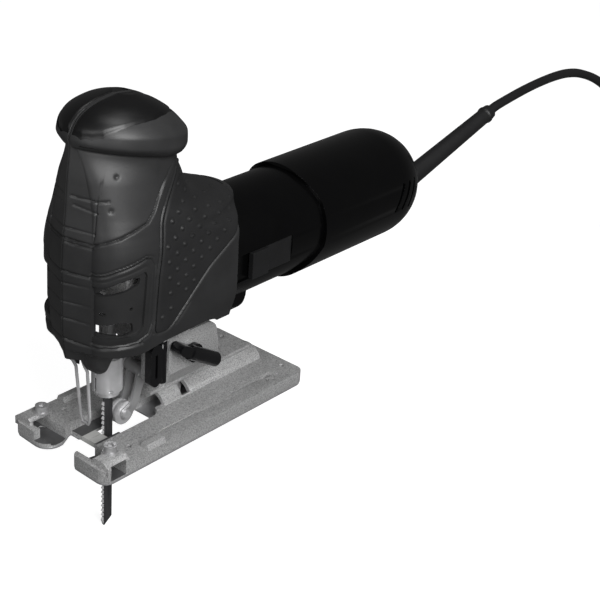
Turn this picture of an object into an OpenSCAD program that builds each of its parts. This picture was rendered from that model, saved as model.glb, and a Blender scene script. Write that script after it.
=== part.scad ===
// Barrel-grip jigsaw with a top knob, die-cast tilting base and mains lead.
// Frame: millimetres, origin at the centre of the sole's underside,
// +X to the tool's left side, +Y to the rear (cord end), +Z up. The blade cuts towards -Y.

/* [Base] */
// Length of the base
base_l = 157; // [150:1:170]
// Width of the base
base_w = 73; // [70:1:80]
// Height of the base casting above the sole's underside
base_t = 9; // [8:0.5:10]
// Thickness of the cover plate under the base
sole_t = 1.5; // [1:0.1:2]
// Width of the open notch between the toes
notch_w = 26; // [24:1:28]
// Depth of the notch from the front edge to its round end
notch_d = 64; // [60:1:66]
// Depth of the open mouth in front of the notch floor
mouth_d = 21.5; // [18:0.5:23]
// Width of the blade slot in the notch floor
slot_w = 10; // [9.6:0.2:10.4]
// Thickness of the notch floor
floor_t = 1.7; // [1.5:0.1:1.8]
// Width of the rip-fence slot through both toes
fence_w = 10.4; // [9.6:0.2:11]
// Height of the rip-fence slot
fence_h = 8.6; // [8:0.2:8.8]
// Radius of the round tilt ridge
ridge_r = 10.6; // [10:0.2:11]
// Height of the tilt axis above the sole's underside
tilt_z = 5.4; // [5:0.1:5.8]
// Length of the tilt ridge
ridge_l = 79; // [74:1:80]

/* [Blade and plunger] */
// Distance of the plunger axis behind the front edge of the base
plunger_d = 35; // [34:0.5:36]
// Diameter of the plunger rod
plunger_dia = 9; // [8:0.5:10]
// Length of the stroke
stroke = 26; // [20:1:26]
// Height of the clamp's lower face above its lowest point, as drawn
lift = 4; // [2:0.5:6]
// Height of the clamp's lower face above the sole's underside
clamp_z = 28; // [27:0.5:30]
// Diameter of the blade clamp
clamp_dia = 17; // [16:0.5:18]
// Height of the blade clamp
clamp_h = 23; // [21:0.5:24]
// Length of blade below the clamp
blade_l = 86; // [70:1:100]
// Width of the blade
blade_w = 7; // [6:0.5:8]
// Thickness of the blade
blade_t = 1.3; // [1:0.1:1.6]
// Pitch of the blade's teeth
tooth_pitch = 3; // [2.5:0.1:4]

/* [Motor and gears] */
// Height of the motor axis above the sole's underside
motor_z = 90.7; // [90:0.1:92]
// Module of the gear teeth
gear_module = 0.9; // [0.8:0.05:0.9]
// Teeth of the pinion on the motor shaft
pinion_teeth = 8; // [8:1:10]
// Teeth of the spur gear
gear_teeth = 48; // [44:1:48]
// Face width of the gears
gear_w = 8; // [7:0.5:9]
// Outer diameter of the armature core
core_dia = 32; // [30:0.5:34]
// Length of the armature and field cores
core_l = 42; // [38:1:44]
// Outer diameter of the field core
field_dia = 54; // [52:0.5:55]
// Outer diameter of the cooling fan
fan_dia = 44; // [40:0.5:46]

/* [Body shells] */
// Wall of the head shells
head_wall = 3; // [2.5:0.1:3.2]
// Radius of the motor housing
barrel_r = 31; // [30.6:0.1:31.4]
// Wall of the rear cover, which slips over the motor housing
cover_wall = 2.4; // [2:0.1:2.6]
// Length of the cord guard
guard_l = 107; // [90:1:110]

/* [Cord] */
// Diameter of the cord
cord_dia = 6.4; // [6:0.2:7]

/* [Hidden] */

// colours
BLACK = [0.09, 0.09, 0.10];
DARK = [0.16, 0.16, 0.17];
RUBBER = [0.13, 0.13, 0.14];
ALLOY = [0.72, 0.73, 0.74];
SATIN = [0.42, 0.43, 0.44];
STEEL = [0.62, 0.63, 0.65];
CHROME = [0.82, 0.83, 0.85];
COPPER = [0.72, 0.42, 0.22];
CREAM = [0.80, 0.76, 0.66];

$fn = 48;
gap = 0.3;          // running gap between separate bodies
seat = 0.02;        // clearance of a fitted seat
run = 0.05;         // radial clearance of a running fit
eps = 0.01;
far = 400;

// Y of a point given as its distance behind the front edge of the base
function back(d) = d - base_l / 2;

// points of an arc or elliptic arc
function arc(cx, cy, rx, ry, a0, a1, n) =
    [for (i = [0:n]) let(a = a0 + (a1 - a0) * i / n) [cx + rx * cos(a), cy + ry * sin(a)]];

// a right-hand outline (x >= 0, from front to rear) closed by its mirror image
function mirrored(p) =
    concat(p, [for (i = [len(p) - 1:-1:0]) if (p[i][0] > 0.001) [-p[i][0], p[i][1]]]);

// ---------------------------------------------------------------- head form
// Stations of the head from the chin to the knob: front point (behind the base's
// front edge, height), rear point, half width, prow, front run, rear run, taper.
chin_z = 47;
lip_z = 66.2;
HEAD = [
    [15.5, chin_z, 118, chin_z, 12, 1, 15, 20, 1],
    [9.6, 52, 118, 52, 14.5, 1, 17, 20, 1],
    [5.8, 59, 118, 59, 17, 1, 20, 20, 1],
    [4.6, 63.6, 118, 63.6, 20, 1, 24, 20, 1],
    [4.4, lip_z, 118, lip_z, 32, 1, 31, 20, 1],
    [3.4, 80, 118, 80, 33.8, 1, 33, 20, 1],
    [3.4, 110, 118, 110, 33.6, 1, 34, 24, 1],
    [3.8, 120, 118, 120, 33, 1, 34, 34, 1],
    [4.4, 127, 118, 127, 31.8, 1, 35, 55, 1],
    [4.9, 131.5, 108, 131.5, 30.8, 1, 36, 48, 1],
    [5.4, 136, 95, 136, 29.8, 1, 36, 40, 1.05],
    [5.9, 141, 84, 139.5, 28.6, 1, 36, 36, 1.1],
    [7.2, 158, 77.5, 150.5, 25.8, 0.8, 37, 35, 1.25],
    [8.8, 172.5, 74, 159.5, 24, 0.4, 37, 34, 1.5]];
KNOB = [
    [8.9, 174, 74, 161, 24.4, 0.3, 38, 34, 1.5],
    [8.8, 175.5, 75, 164, 28, 0.1, 40, 34, 1.2],
    [8.9, 178.5, 75.6, 169.5, 30.7, 0, 41, 34, 1],
    [10.2, 182.5, 75, 175, 30.8, 0, 40, 34, 1],
    [13.2, 187, 72, 179.5, 28.3, 0, 36, 31, 1],
    [18.7, 190.9, 67, 184.5, 23.4, 0, 30, 26, 1],
    [27, 193.7, 60, 189.3, 16.5, 0, 19, 16, 1],
    [38, 195.2, 50, 193.8, 7, 0, 6, 6, 1]];

// outline of one station in its own plane, drawn in by e on every side
function head_outline(length, s, e) =
    let (w = s[4] - e, cx = 0.47 * w * s[5], cy = 6 * s[5] + e, steps = 6)
    mirrored(concat([[0, e]],
        [for (i = [0:steps]) let (a = 90 * i / steps)
            [cx + (w - cx) * pow(sin(a), s[8]), s[6] - (s[6] - cy) * pow(cos(a), s[8])]],
        arc(0, length - s[7], w, s[7] - e, 0, 90, steps)));

// thin slice of the head at a station
module head_slice(s, e) {
    dy = s[2] - s[0];
    dz = s[3] - s[1];
    translate([0, back(s[0]), s[1]]) rotate([atan2(dz, dy), 0, 0])
        linear_extrude(eps) polygon(head_outline(norm([dy, dz]), s, e));
}

module head_loft(stations, e = 0)
    for (i = [0:len(stations) - 2]) hull() {
        head_slice(stations[i], e);
        head_slice(stations[i + 1], e);
    }

module head_form(e = 0) {
    head_loft(HEAD, e);
    head_loft(concat([HEAD[len(HEAD) - 1]], KNOB), e);
}

// head drawn in by e on the sides and under the top
module head_solid(e = 0)
    if (e <= 0) head_form();
    else intersection() {
        head_form(e);
        translate([0, 0, -e]) head_form();
    }

// side profile of the head: chin, arch over the foot of the gear housing,
// rear edge of the wings and the collar over the front of the barrel
wing_d = 97;
collar_d = 118.5;
collar_z = 127;
wing_z = 68.3;
foot_z = 44;
module head_profile()
    extrude_x(2 * far) polygon(concat(
        [[back(-20), 30], [back(17), 30], [back(21), 44], [back(23.3), lip_z - 0.7], [back(45), wing_z],
            [back(76), wing_z + 0.7]],
        arc(back(79), wing_z - 8, 8, 8, 80, 0, 4),
        [[back(88.5), foot_z], [back(94), foot_z], [back(93), 62], [back(wing_d), 80]],
        arc(back(collar_d), 107, collar_d - wing_d, collar_z - 107, 180, 90, 6),
        [[back(collar_d), 400], [back(-20), 400]]));

// turns a drawing in (y, z) into a plate of thickness t centred on x = 0
module extrude_x(t) rotate([90, 0, 90]) translate([0, 0, -t / 2]) linear_extrude(t) children();

// keeps the left (+X) or right (-X) half, with half the shell joint's gap
module half(side)
    intersection() {
        children();
        translate([side > 0 ? 0.05 : -far - 0.05, -far, -far]) cube([far, 2 * far, 2 * far]);
    }

// floor of the shells beside the opening for the plunger
module head_floor()
    for (s = [-1, 1]) mirror([s > 0 ? 0 : 1, 0, 0]) box(15.57, far, -20, 44.6, 40, wing_z + 1.93);

module head_shell(side) {
    color(BLACK) half(side) difference() {
        intersection() {
            head_solid();
            head_profile();
        }
        difference() {
            head_solid(head_wall);
            shell_bosses();
            head_floor();
        }
        panel_pocket(side);
        pad_pocket(side);
        vent_pocket(side);
        for (p = SHELL_SCREWS) screw_hole(p, side);
        rod_y(barrel_r + gap, 90, 130, 0, motor_z, 96);
        box(-foot_x - gap, foot_x + gap, foot_d[0] - 1, foot_d[1] + 1, 0, 60);
        box(-6.6, 6.6, -20, 23.7, 30, 59.43);
    }
}
module head_shell_left() head_shell(1);
module head_shell_right() head_shell(-1);

// screw positions of the head shells: distance back, height
SHELL_SCREWS = [[22, 166], [14, 96], [52, 176], [61, 161]];
boss_r = 4;
module shell_bosses()
    for (p = SHELL_SCREWS)
        translate([0, back(p[0]), p[1]]) rotate([0, 90, 0])
            cylinder(r = boss_r, h = 2 * far, center = true, $fn = 20);
module screw_hole(p, side)
    if (side > 0) rod_x(1.5, -1, 13, p[0], p[1], 16);
    else {
        rod_x(1.7, -13, 1, p[0], p[1], 16);
        rod_x(3.2, -60, -11.9, p[0], p[1], 24);
    }

// ---------------------------------------------------------------- trim on the head
trim_t = 1.6;
// rubber grip panel: side outline in (y, z)
module panel_shape(e = 0)
    offset(delta = e) polygon([[back(67), 157.5], [back(58), 151.5], [back(50.3), 144], [back(44.6), 135.3],
        [back(39.3), 107], [back(37.2), 78], [back(38.5), 75.2], [back(46.5), 74.6], [back(61.2), 88.6],
        [back(75.5), 101.7], [back(96), 114.5], [back(112), 128], [back(109), 137], [back(84), 144],
        [back(78), 151], [back(76), 159]]);
module panel_pocket(side)
    difference() {
        translate([side * far / 2, 0, 0]) extrude_x(far) panel_shape(0.15);
        head_solid(trim_t + 0.15);
    }
module grip_panel(side)
    color(RUBBER) half(side) difference() {
        intersection() {
            head_solid();
            translate([side * far / 2, 0, 0]) extrude_x(far) panel_shape();
            head_profile();
        }
        head_solid(trim_t);
    }
module grip_panel_left() grip_panel(1);
module grip_panel_right() grip_panel(-1);

// smooth pads let into the top of the knob: plan outline
module pad_shape(e = 0)
    offset(delta = e) polygon([[1.2, back(9.6)], [6.9, back(10.4)], [12.1, back(12.9)],
        [16.2, back(16.2)], [19.1, back(21)], [21, back(25.8)], [22.4, back(31.2)], [23.4, back(37)],
        [23.7, back(43)], [22, back(51.4)], [17.6, back(60)], [11, back(66.5)], [1.2, back(70.5)]]);
module pad_pocket(side)
    difference() {
        mirror([side > 0 ? 0 : 1, 0, 0]) translate([0, 0, 165]) linear_extrude(60) pad_shape(0.15);
        head_solid(trim_t + 0.15);
    }
module knob_pad(side)
    color(BLACK) half(side) difference() {
        intersection() {
            head_loft(KNOB);
            mirror([side > 0 ? 0 : 1, 0, 0]) translate([0, 0, 165]) linear_extrude(60) pad_shape();
        }
        head_solid(trim_t);
    }
module knob_pad_left() knob_pad(1);
module knob_pad_right() knob_pad(-1);

// vent frame behind the front crease: side outline in (y, z), the recess in it and its two slots
crease_x = 15.6;
module vent_shape(e = 0)
    offset(delta = e) polygon([[back(7), 109.5], [back(16), 114.5], [back(31), 119.5], [back(34), 118.6],
        [back(36), 115], [back(34.5), 84], [back(31.7), 77.7], [back(26), 74.8], [back(16), 74],
        [back(7), 73]]);
module vent_recess()
    polygon([[back(7), 104.5], [back(12.5), 107], [back(17), 109.5], [back(30), 113.2], [back(31.2), 111],
        [back(29), 82], [back(26), 78.8], [back(16), 78], [back(7), 76.5]]);
module vent_slots() {
    polygon([[back(10.5), 99.8], [back(12.7), 104.8], [back(17.5), 108.2], [back(24.3), 110],
        [back(28.2), 109.8],
        [back(27.5), 106.2], [back(21.2), 103.4], [back(15.5), 101.6]]);
    polygon([[back(10), 79.2], [back(10.2), 83.6], [back(13.6), 84.8], [back(18.2), 86.2], [back(24), 85.4],
        [back(24.5), 80.2], [back(20.8), 78.4], [back(13.1), 79.4]]);
}
module vent_pocket(side)
    translate([side * (far / 2 + crease_x), 0, 0]) extrude_x(far) vent_shape(0.15);
module vent_frame(side)
    color(DARK) half(side) difference() {
        intersection() {
            head_solid(0.3);
            translate([side * (far / 2 + crease_x), 0, 0]) extrude_x(far) vent_shape();
        }
        head_solid(head_wall);
        translate([side * far / 2, 0, 0]) extrude_x(far) vent_slots();
        difference() {
            translate([side * far / 2, 0, 0]) extrude_x(far) vent_recess();
            head_solid(1.7);
        }
    }
module vent_frame_left() vent_frame(1);
module vent_frame_right() vent_frame(-1);

// ---------------------------------------------------------------- drive train layout
gear_c = gear_module * (pinion_teeth + gear_teeth) / 2;
gear_z = motor_z + gear_c;
gear_or = gear_module * (gear_teeth + 2) / 2;
pinion_or = gear_module * (pinion_teeth + 2) / 2;
crank_r = stroke / 2;
crank_a = asin((lift - crank_r) / crank_r);
yoke_z = gear_z + crank_r * sin(crank_a);
bush_r = 3.5;
pin_r = 2;
yoke_t = 5;
yoke_h = 2 * bush_r + 6;
yoke_x = crank_r + bush_r + 2;
gear_d = 57;                        // front face of the spur gear, behind the base's front
plate_d = 66.5;                       // front face of the bearing plate
plate_t = 9;
case_wall = 2.5;
chamber_r = gear_or + 1.2 + case_wall;
case_top = gear_z + chamber_r - 1;
guide_lo = [74, 88];                // heights of the lower plunger bush
guide_hi = [143, 151];              // heights of the upper plunger bush
guide_r = plunger_dia / 2 + 2;      // outer radius of the bushes
shaft_r = 4;
stub_r = 3.5;                       // shaft in the rear bearing
spindle_r = 4;
lever_d = 77;                       // orbital lever's hub
lever_z = 45.6;
release_d = 51.5;                   // release lever's hinge
release_x = 24.1;
lever_pin_r = 3;
arm_d = 57;                         // retainer arm's pivot
arm_z = 34;
arm_pin_r = 2;
bolt_d = 86;                        // tilt bolt
bolt_r = 2.5;
foot_d = [61, 99.5];                // front and rear of the housing's foot
foot_x = 20;
foot_bottom = 20.4;
plate_low = 36;                     // lower edge of the foot's side walls
saddle_x = 7.6;                     // half width of the tilt bracket
ear_x = [7.2, 11];
roller_r = 6.85;
roller_d = plunger_d + blade_w / 2 + roller_r + 0.05;
roller_z = 11.4;
roller_x = 2.7;
roller_w = 8.8;                     // half width of the base's opening under the roller

module rod_y(r, a, b, x = 0, z = 0, n = 48)
    translate([x, back(a), z]) rotate([-90, 0, 0]) cylinder(r = r, h = b - a, $fn = n);
module rod_x(r, x0, x1, d, z, n = 32)
    translate([x0, back(d), z]) rotate([0, 90, 0]) cylinder(r = r, h = x1 - x0, $fn = n);
module rod_z(r, z0, z1, x, d, n = 32)
    translate([x, back(d), z0]) cylinder(r = r, h = z1 - z0, $fn = n);
module box(x0, x1, d0, d1, z0, z1)
    translate([x0, back(d0), z0]) cube([x1 - x0, d1 - d0, z1 - z0]);
// prism along Y, from a to b behind the front edge, of an outline in (x, z)
module prism_y(a, b) translate([0, back(b), 0]) rotate([90, 0, 0]) linear_extrude(b - a) children();
module ring_y(r0, r1, a, b, z)
    difference() {
        rod_y(r1, a, b, 0, z);
        rod_y(r0, a - 1, b + 1, 0, z);
    }

// rounded rectangle from four circles and two squares, centred
module round_rect(w, h, r) {
    for (x = [-1, 1], y = [-1, 1]) translate([x * (w / 2 - r), y * (h / 2 - r)]) circle(r);
    square([w - 2 * r, h], center = true);
    square([w, h - 2 * r], center = true);
}

// spur gear outline with involute flanks
function inv_pt(rb, t) = [rb * (cos(t) + t * PI / 180 * sin(t)), rb * (sin(t) - t * PI / 180 * cos(t))];
function rot_pt(p, a) = [p[0] * cos(a) - p[1] * sin(a), p[0] * sin(a) + p[1] * cos(a)];
function roll_angle(r, rb) = sqrt(max(0, pow(r / rb, 2) - 1)) * 180 / PI;
module gear_shape(m, z, backlash = 0.16) {
    rp = m * z / 2;
    rb = rp * cos(20);
    root = rp - 1.25 * m;
    tip = roll_angle(rp + m - 0.1, rb);
    pitch = roll_angle(rp, rb);
    turn = pitch - atan(pitch * PI / 180) + (90 - backlash / m * 57.3) / z;
    flank = [for (i = [0:4]) rot_pt(inv_pt(rb, tip * i / 4), -turn)];
    foot = atan2(flank[0][1], flank[0][0]);
    tooth = concat([[root * cos(foot), root * sin(foot)]], flank,
        [for (i = [4:-1:0]) [flank[i][0], -flank[i][1]]], [[root * cos(foot), -root * sin(foot)]]);
    polygon([for (k = [0:z - 1]) for (p = tooth) rot_pt(p, k * 360 / z)]);
}

// ---------------------------------------------------------------- gear housing
module foot_profile()
    extrude_x(2 * far) polygon(concat([[back(foot_d[0]), 10], [back(foot_d[0]), 70], [back(plate_d), 70],
            [back(plate_d), 57.9]],
        arc(back(90), 50, 8, 7.9, 90, 0, 6), [[back(foot_d[1]), 44], [back(foot_d[1]), 10]]));
module foot_section()
    polygon([[-foot_x, 80], [-foot_x, plate_low], [-saddle_x, foot_bottom], [saddle_x, foot_bottom],
        [foot_x, plate_low], [foot_x, 80]]);
module gear_case_outline(e = 0) {
    translate([0, gear_z]) circle(chamber_r + e);
    translate([0, motor_z]) circle(16 + e);
    translate([-21 - e, 58 - e]) square([42 + 2 * e, gear_z - 58]);
}
module gear_housing() {
    color(ALLOY) difference() {
        union() {
            prism_y(45, plate_d) gear_case_outline();
            box(-yoke_x - 2.6, yoke_x + 2.6, 28, 46, 90, case_top);
            for (g = [guide_lo, guide_hi])
                rod_z(guide_r + 2.6, g[0], g[1], 0, plunger_d);
            rod_z(guide_r + 2.6, guide_lo[1] - 1, 92, 0, plunger_d);
            rod_z(guide_r + 2.6, case_top - 2, guide_hi[0] + 1, 0, plunger_d);
            box(-6, 6, plunger_d + 4, 48, 76, 92);
            intersection() {
                foot_profile();
                prism_y(foot_d[0], foot_d[1]) foot_section();
            }
            for (s = [-1, 1]) mirror([s > 0 ? 0 : 1, 0, 0]) {
                box(ear_x[0], ear_x[1], arm_d - 4, foot_d[0] + 1, arm_z, 59);
                rod_x(4, ear_x[0], ear_x[1], arm_d, arm_z);
            }
            rod_x(7, foot_x - 1, foot_x + 1.2, lever_d, lever_z);
            for (z = [35.5, 63.3]) hull() {
                rod_z(2.6, z, z + 2.2, release_x, release_d);
                box(14, foot_x, foot_d[0], foot_d[0] + 1, z, z + 2.2);
            }
            rod_z(1.4, 36, 64, release_x, release_d);
        }
        rod_y(gear_or + 1.2, 47, plate_d + 1, 0, gear_z);
        rod_y(pinion_or + 3, 47, plate_d + 1, 0, motor_z);
        rod_y(crank_r + bush_r + 2.5, 44, 50, 0, gear_z);
        box(-yoke_x - 0.5, yoke_x + 0.5, 31, 46, gear_z - crank_r - yoke_h / 2 - 1.5,
            gear_z + crank_r + yoke_h / 2 + 1.5);
        rod_z(guide_r + seat, guide_lo[0] - 1, guide_hi[1] + 1, 0, plunger_d);
        rod_x(arm_pin_r + seat, -foot_x, foot_x, arm_d, arm_z);
        rod_x(lever_pin_r + run, foot_x - 6, foot_x + 5, lever_d, lever_z);
        rod_z(bolt_r + seat, foot_bottom - 1, foot_bottom + 14, 0, bolt_d);
        for (x = [-4.6, 4.6]) rod_y(wire_r + seat, 20, 30, x, 80, 20);
    }
}

// plate that closes the gear housing and carries the front bearing and gear spindle
bearing_d = [plate_d + 2, plate_d + plate_t - 0.5];
bearing_r = 11;
module bearing_plate()
    color(ALLOY) difference() {
        union() {
            prism_y(plate_d + seat, plate_d + plate_t) gear_case_outline();
            rod_y(bearing_r + 3, plate_d + 1, plate_d + plate_t + 1, 0, motor_z);
        }
        rod_y(bearing_r + seat, bearing_d[0], plate_d + plate_t + 2, 0, motor_z);
        rod_y(shaft_r + 1.5, plate_d - 1, plate_d + plate_t, 0, motor_z);
        rod_y(spindle_r + seat, plate_d - 1, plate_d + 8, 0, gear_z);
    }

// ball bearing drawn as two races and a ring of balls
module ball_bearing(r0, r1, d0, d1) {
    rb = (r0 + r1) / 2;
    race = (r1 - r0) * 0.26;
    ring_y(r0 + seat, r0 + race, d0, d1, motor_z);
    ring_y(r1 - race, r1, d0, d1, motor_z);
    for (a = [0:45:359]) translate([rb * cos(a), back((d0 + d1) / 2), motor_z + rb * sin(a)])
        sphere(r = (r1 - r0) / 2 - race - 0.02, $fn = 24);
}
module front_bearing() color(STEEL) ball_bearing(shaft_r, bearing_r, bearing_d[0] + seat, bearing_d[1]);

// ---------------------------------------------------------------- motor
fan_d = [85, 94];
core_d = 106;                       // front face of the cores
core_end = core_d + core_l;
commutator_d = [core_end + 11, core_end + 25];
rear_d = [core_end + 31, core_end + 37];
rear_r = 9.5;
module armature_shaft()
    color(STEEL) {
        rod_y(shaft_r, 68.5, rear_d[0], 0, motor_z);
        rod_y(stub_r, rear_d[0] - 1, rear_d[1] + 1, 0, motor_z);
        rod_y(3, gear_d + gear_w, 69, 0, motor_z);
        prism_y(gear_d + seat, gear_d + gear_w + 0.5) translate([0, motor_z]) rotate(180 / pinion_teeth)
            gear_shape(gear_module, pinion_teeth);
    }
module armature_core()
    color(STEEL) prism_y(core_d, core_end) translate([0, motor_z]) difference() {
        circle(core_dia / 2);
        circle(shaft_r + seat);
        for (a = [0:30:359]) rotate(a) {
            translate([core_dia / 2 - 7, -1.6]) square([5, 3.2]);
            translate([core_dia / 2 - 3, -0.7]) square([4, 1.4]);
        }
    }
module winding_ring(d0, d1, r0, r1)
    translate([0, back(d0), motor_z]) rotate([-90, 0, 0]) rotate_extrude()
        translate([(r0 + r1) / 2, (d1 - d0) / 2]) round_rect(r1 - r0, d1 - d0, 2);
module armature_windings()
    color(COPPER) {
        winding_ring(core_d - 9, core_d - seat, shaft_r + seat, core_dia / 2 - 1);
        winding_ring(core_end + seat, core_end + 9, shaft_r + seat, core_dia / 2 - 1);
    }
module commutator()
    color(COPPER) prism_y(commutator_d[0], commutator_d[1]) translate([0, motor_z]) difference() {
        circle(11);
        circle(shaft_r + seat);
        for (a = [0:15:359]) rotate(a) translate([9, -0.25]) square([3, 0.5]);
    }
module cooling_fan()
    color(CREAM) {
        ring_y(shaft_r + seat, 8, fan_d[0], fan_d[1], motor_z);
        ring_y(7.9, fan_dia / 2, fan_d[0], fan_d[0] + 1.6, motor_z);
        prism_y(fan_d[0] + 1.5, fan_d[1]) translate([0, motor_z])
            for (a = [0:24:359]) rotate(a) translate([11, 0]) rotate(18) square([fan_dia / 2 - 12, 1.2]);
    }
module rear_bearing() color(STEEL) ball_bearing(stub_r, rear_r, rear_d[0] + seat, rear_d[1]);
module field_core()
    color(STEEL) prism_y(core_d, core_end) translate([0, motor_z]) difference() {
        circle(field_dia / 2);
        circle(core_dia / 2 + 0.5);
        for (s = [-1, 1]) intersection() {
            translate([s * 25, 0]) square([24, 32], center = true);
            difference() {
                circle(field_dia / 2 - 3.5);
                circle(core_dia / 2 + 3);
            }
        }
    }
module field_windings()
    color(COPPER) for (s = [0, 1]) mirror([s, 0, 0]) prism_y(core_d - 7, core_end + 7)
        translate([0, motor_z]) intersection() {
            translate([25, 0]) square([23, 31], center = true);
            difference() {
                circle(field_dia / 2 - 3.8);
                circle(core_dia / 2 + 3.3);
            }
        }
brush_d = (commutator_d[0] + commutator_d[1]) / 2;
module brush_holders()
    color(CREAM) for (s = [0, 1]) translate([0, 0, motor_z]) mirror([0, 0, s])
        translate([0, back(brush_d), 13.5]) difference() {
            translate([-5, -5.5, 0]) cube([10, 11, 13]);
            translate([-2.6, -3.6, -1]) cube([5.2, 7.2, 15]);
        }
module carbon_brushes()
    color(DARK) for (s = [0, 1]) translate([0, 0, motor_z]) mirror([0, 0, s])
        translate([-2.5, back(brush_d) - 3.5, 11.15]) cube([5, 7, 12]);

// ---------------------------------------------------------------- barrel
// solid of revolution about the motor axis from points [radius, distance back]
module turned(p) translate([0, back(0), motor_z]) rotate([-90, 0, 0]) rotate_extrude($fn = 96) polygon(p);

cover_r = barrel_r + seat + cover_wall;
housing_d = plate_d + plate_t + 0.1;
rear_plate_d = rear_d[0] - 3;
belly_d = [96, 123];                // block under the front of the barrel
belly_z = 55.5;
cover_d = 172;                      // front edge of the rear cover at the sides
cover_end = 282;
switch_d = [102, 145];
switch_z = [81, 97.2];
slider_z = (switch_z[0] + switch_z[1]) / 2;
recess_x = barrel_r - 2.8;
link_z = [slider_z - 3, slider_z + 3];
module belly()
    intersection() {
        prism_y(belly_d[0], belly_d[1]) translate([0, belly_z + 15]) round_rect(36, 30, 4);
        extrude_x(80) polygon(concat([[back(belly_d[0]), belly_z + 30], [back(belly_d[0]), belly_z]],
            arc(back(belly_d[1]) - 9, belly_z + 10, 9, 10, -90, 0, 6), [[back(belly_d[1]), belly_z + 30]]));
    }
module motor_housing()
    color(BLACK) difference() {
        union() {
            turned([[0, housing_d], [26.5, housing_d], [27.5, belly_d[0]],
                [barrel_r - 0.6, belly_d[0] + 0.6],
                [barrel_r, belly_d[0] + 1.4], [barrel_r, rear_plate_d + 12], [0, rear_plate_d + 12]]);
            belly();
        }
        rod_y(field_dia / 2 + seat, 99, rear_plate_d, 0, motor_z);
        rod_y(fan_dia / 2 + 1.5, housing_d - 1, 100, 0, motor_z);
        rod_y(rear_r + seat, rear_plate_d - 1, rear_d[1] + 0.1, 0, motor_z);
        rod_y(shaft_r + 1.5, 100, 400, 0, motor_z);
        rod_y(barrel_r - 3, rear_d[1] + 0.5, 400, 0, motor_z);
        box(recess_x, 60, switch_d[0], switch_d[1], switch_z[0], switch_z[1]);
        box(recess_x - 0.8, recess_x + 1, switch_d[1] - 22, 400, link_z[0] - 0.4, link_z[1] + 0.4);
    }

guard_a = 16.1;                     // rise of the cord guard, degrees
guard_d = 280;                      // guard's root behind the front of the base
guard_z = 75.6;
guard_r = [6.9, 5.1];
function guard_axis(d) = guard_z + (d - guard_d) * tan(guard_a);
module guard_frame() translate([0, back(guard_d), guard_z]) rotate([guard_a - 90, 0, 0]) children();
clamp_d = [cover_end - 26, cover_end - 18];   // cord clamp inside the rear cover
vent_d = [238, 244.6, 251.2];       // lower ends of the cover's vent slots
module cover_profile(e, front)
    turned(concat([[0, front], [cover_r - e, front], [cover_r - e, 246 - e / 2]],
        arc(0, 246 - e / 2, cover_r - e, (cover_end - 246 - e / 2) / sin(84), 0, 84, 13),
        [[0, cover_end - e]]));
clamp_floor = guard_axis(clamp_d[0]) - 0.5;
module cover_ribs() {
    box(-40, 40, 200, 236, motor_z - 14, motor_z - 12);
    box(-21, -11, 204, 234, motor_z - 12.1, motor_z - 4);
    box(-13, 13, clamp_d[0], clamp_d[1], 50, clamp_floor);
}
module rear_cover()
    color(BLACK) difference() {
        intersection() {
            cover_profile(0, 150);
            extrude_x(2 * far) polygon([[back(167), 400], [back(167), 122], [back(cover_d), 108],
                [back(cover_d), 82], [back(167), 72], [back(160), 64], [back(160), 0], [back(400), 0],
                [back(400), 400]]);
        }
        rod_y(barrel_r + seat, 140, rear_plate_d + 12.5, 0, motor_z, 96);
        difference() {
            cover_profile(cover_wall, rear_plate_d + 12);
            cover_ribs();
        }
        rod_y(8 + seat, 204, 234, -16, motor_z);
        guard_frame() cylinder(r = guard_r[0] + seat, h = 30, center = true);
        guard_frame() translate([0, 0, -30]) cylinder(r = cord_dia / 2 + seat, h = 40, center = true);
        for (s = [-1, 1])
            rod_z(1.6 + seat, guard_axis(clamp_d[0]) - 7, 90, 9.5 * s, (clamp_d[0] + clamp_d[1]) / 2);
        for (s = [-1, 1], d = vent_d)
            translate([s * cover_r, back(d + 4), 92.4]) rotate([-25, 0, 0])
                cube([16, 2.2, 18], center = true);
    }

// sliding switch on the left side
slider_d = [111, 124];
module switch_slider()
    color(DARK) {
        box(recess_x + 0.8, barrel_r + 1.4, slider_d[0], slider_d[1], switch_z[0] + gap, switch_z[1] - gap);
        box(recess_x + 0.8, barrel_r - 0.6, slider_d[1] - 1, switch_d[1] - gap, switch_z[0] + gap,
            switch_z[1] - gap);
    }
module switch_link()
    color(CREAM) box(recess_x - 0.5, recess_x + 0.8 - seat, switch_d[1] - 12, 203, link_z[0], link_z[1]);
module switch_block()
    color(DARK) box(8, 26, 204, 232, motor_z - 12 + seat, motor_z + 10);
module noise_capacitor()
    color(CREAM) rod_y(8, 204 + seat, 234 - seat, -16, motor_z);

// cord guard with a bead at its end
module cord_guard()
    color(RUBBER) guard_frame() rotate_extrude() polygon(concat(
        [[cord_dia / 2 + seat, -11], [guard_r[0] - seat, -11], [guard_r[0] - seat, 2], [guard_r[0] - 0.4, 4],
            [guard_r[1], guard_l - 7]],
        arc(guard_r[1], guard_l - 5, 0.7, 1.6, -80, 80, 8),
        [[guard_r[1] - 0.2, guard_l], [cord_dia / 2 + seat, guard_l]]));
module cord_clamp()
    color(CREAM) difference() {
        box(-12.5, 12.5, clamp_d[0], clamp_d[1], clamp_floor + seat, guard_axis(clamp_d[1]) + 5.5);
        guard_frame() translate([0, 0, -30]) cylinder(r = cord_dia / 2 + seat, h = 60, center = true);
        for (s = [-1, 1]) rod_z(1.8, 50, 90, 9.5 * s, (clamp_d[0] + clamp_d[1]) / 2);
    }
module clamp_screws()
    color(STEEL) for (s = [-1, 1]) {
        rod_z(1.6, guard_axis(clamp_d[0]) - 6.5, guard_axis(clamp_d[1]) + 6, 9.5 * s,
            (clamp_d[0] + clamp_d[1]) / 2);
        rod_z(3, guard_axis(clamp_d[1]) + 5.5 + seat, guard_axis(clamp_d[1]) + 7.6, 9.5 * s,
            (clamp_d[0] + clamp_d[1]) / 2);
    }

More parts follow.
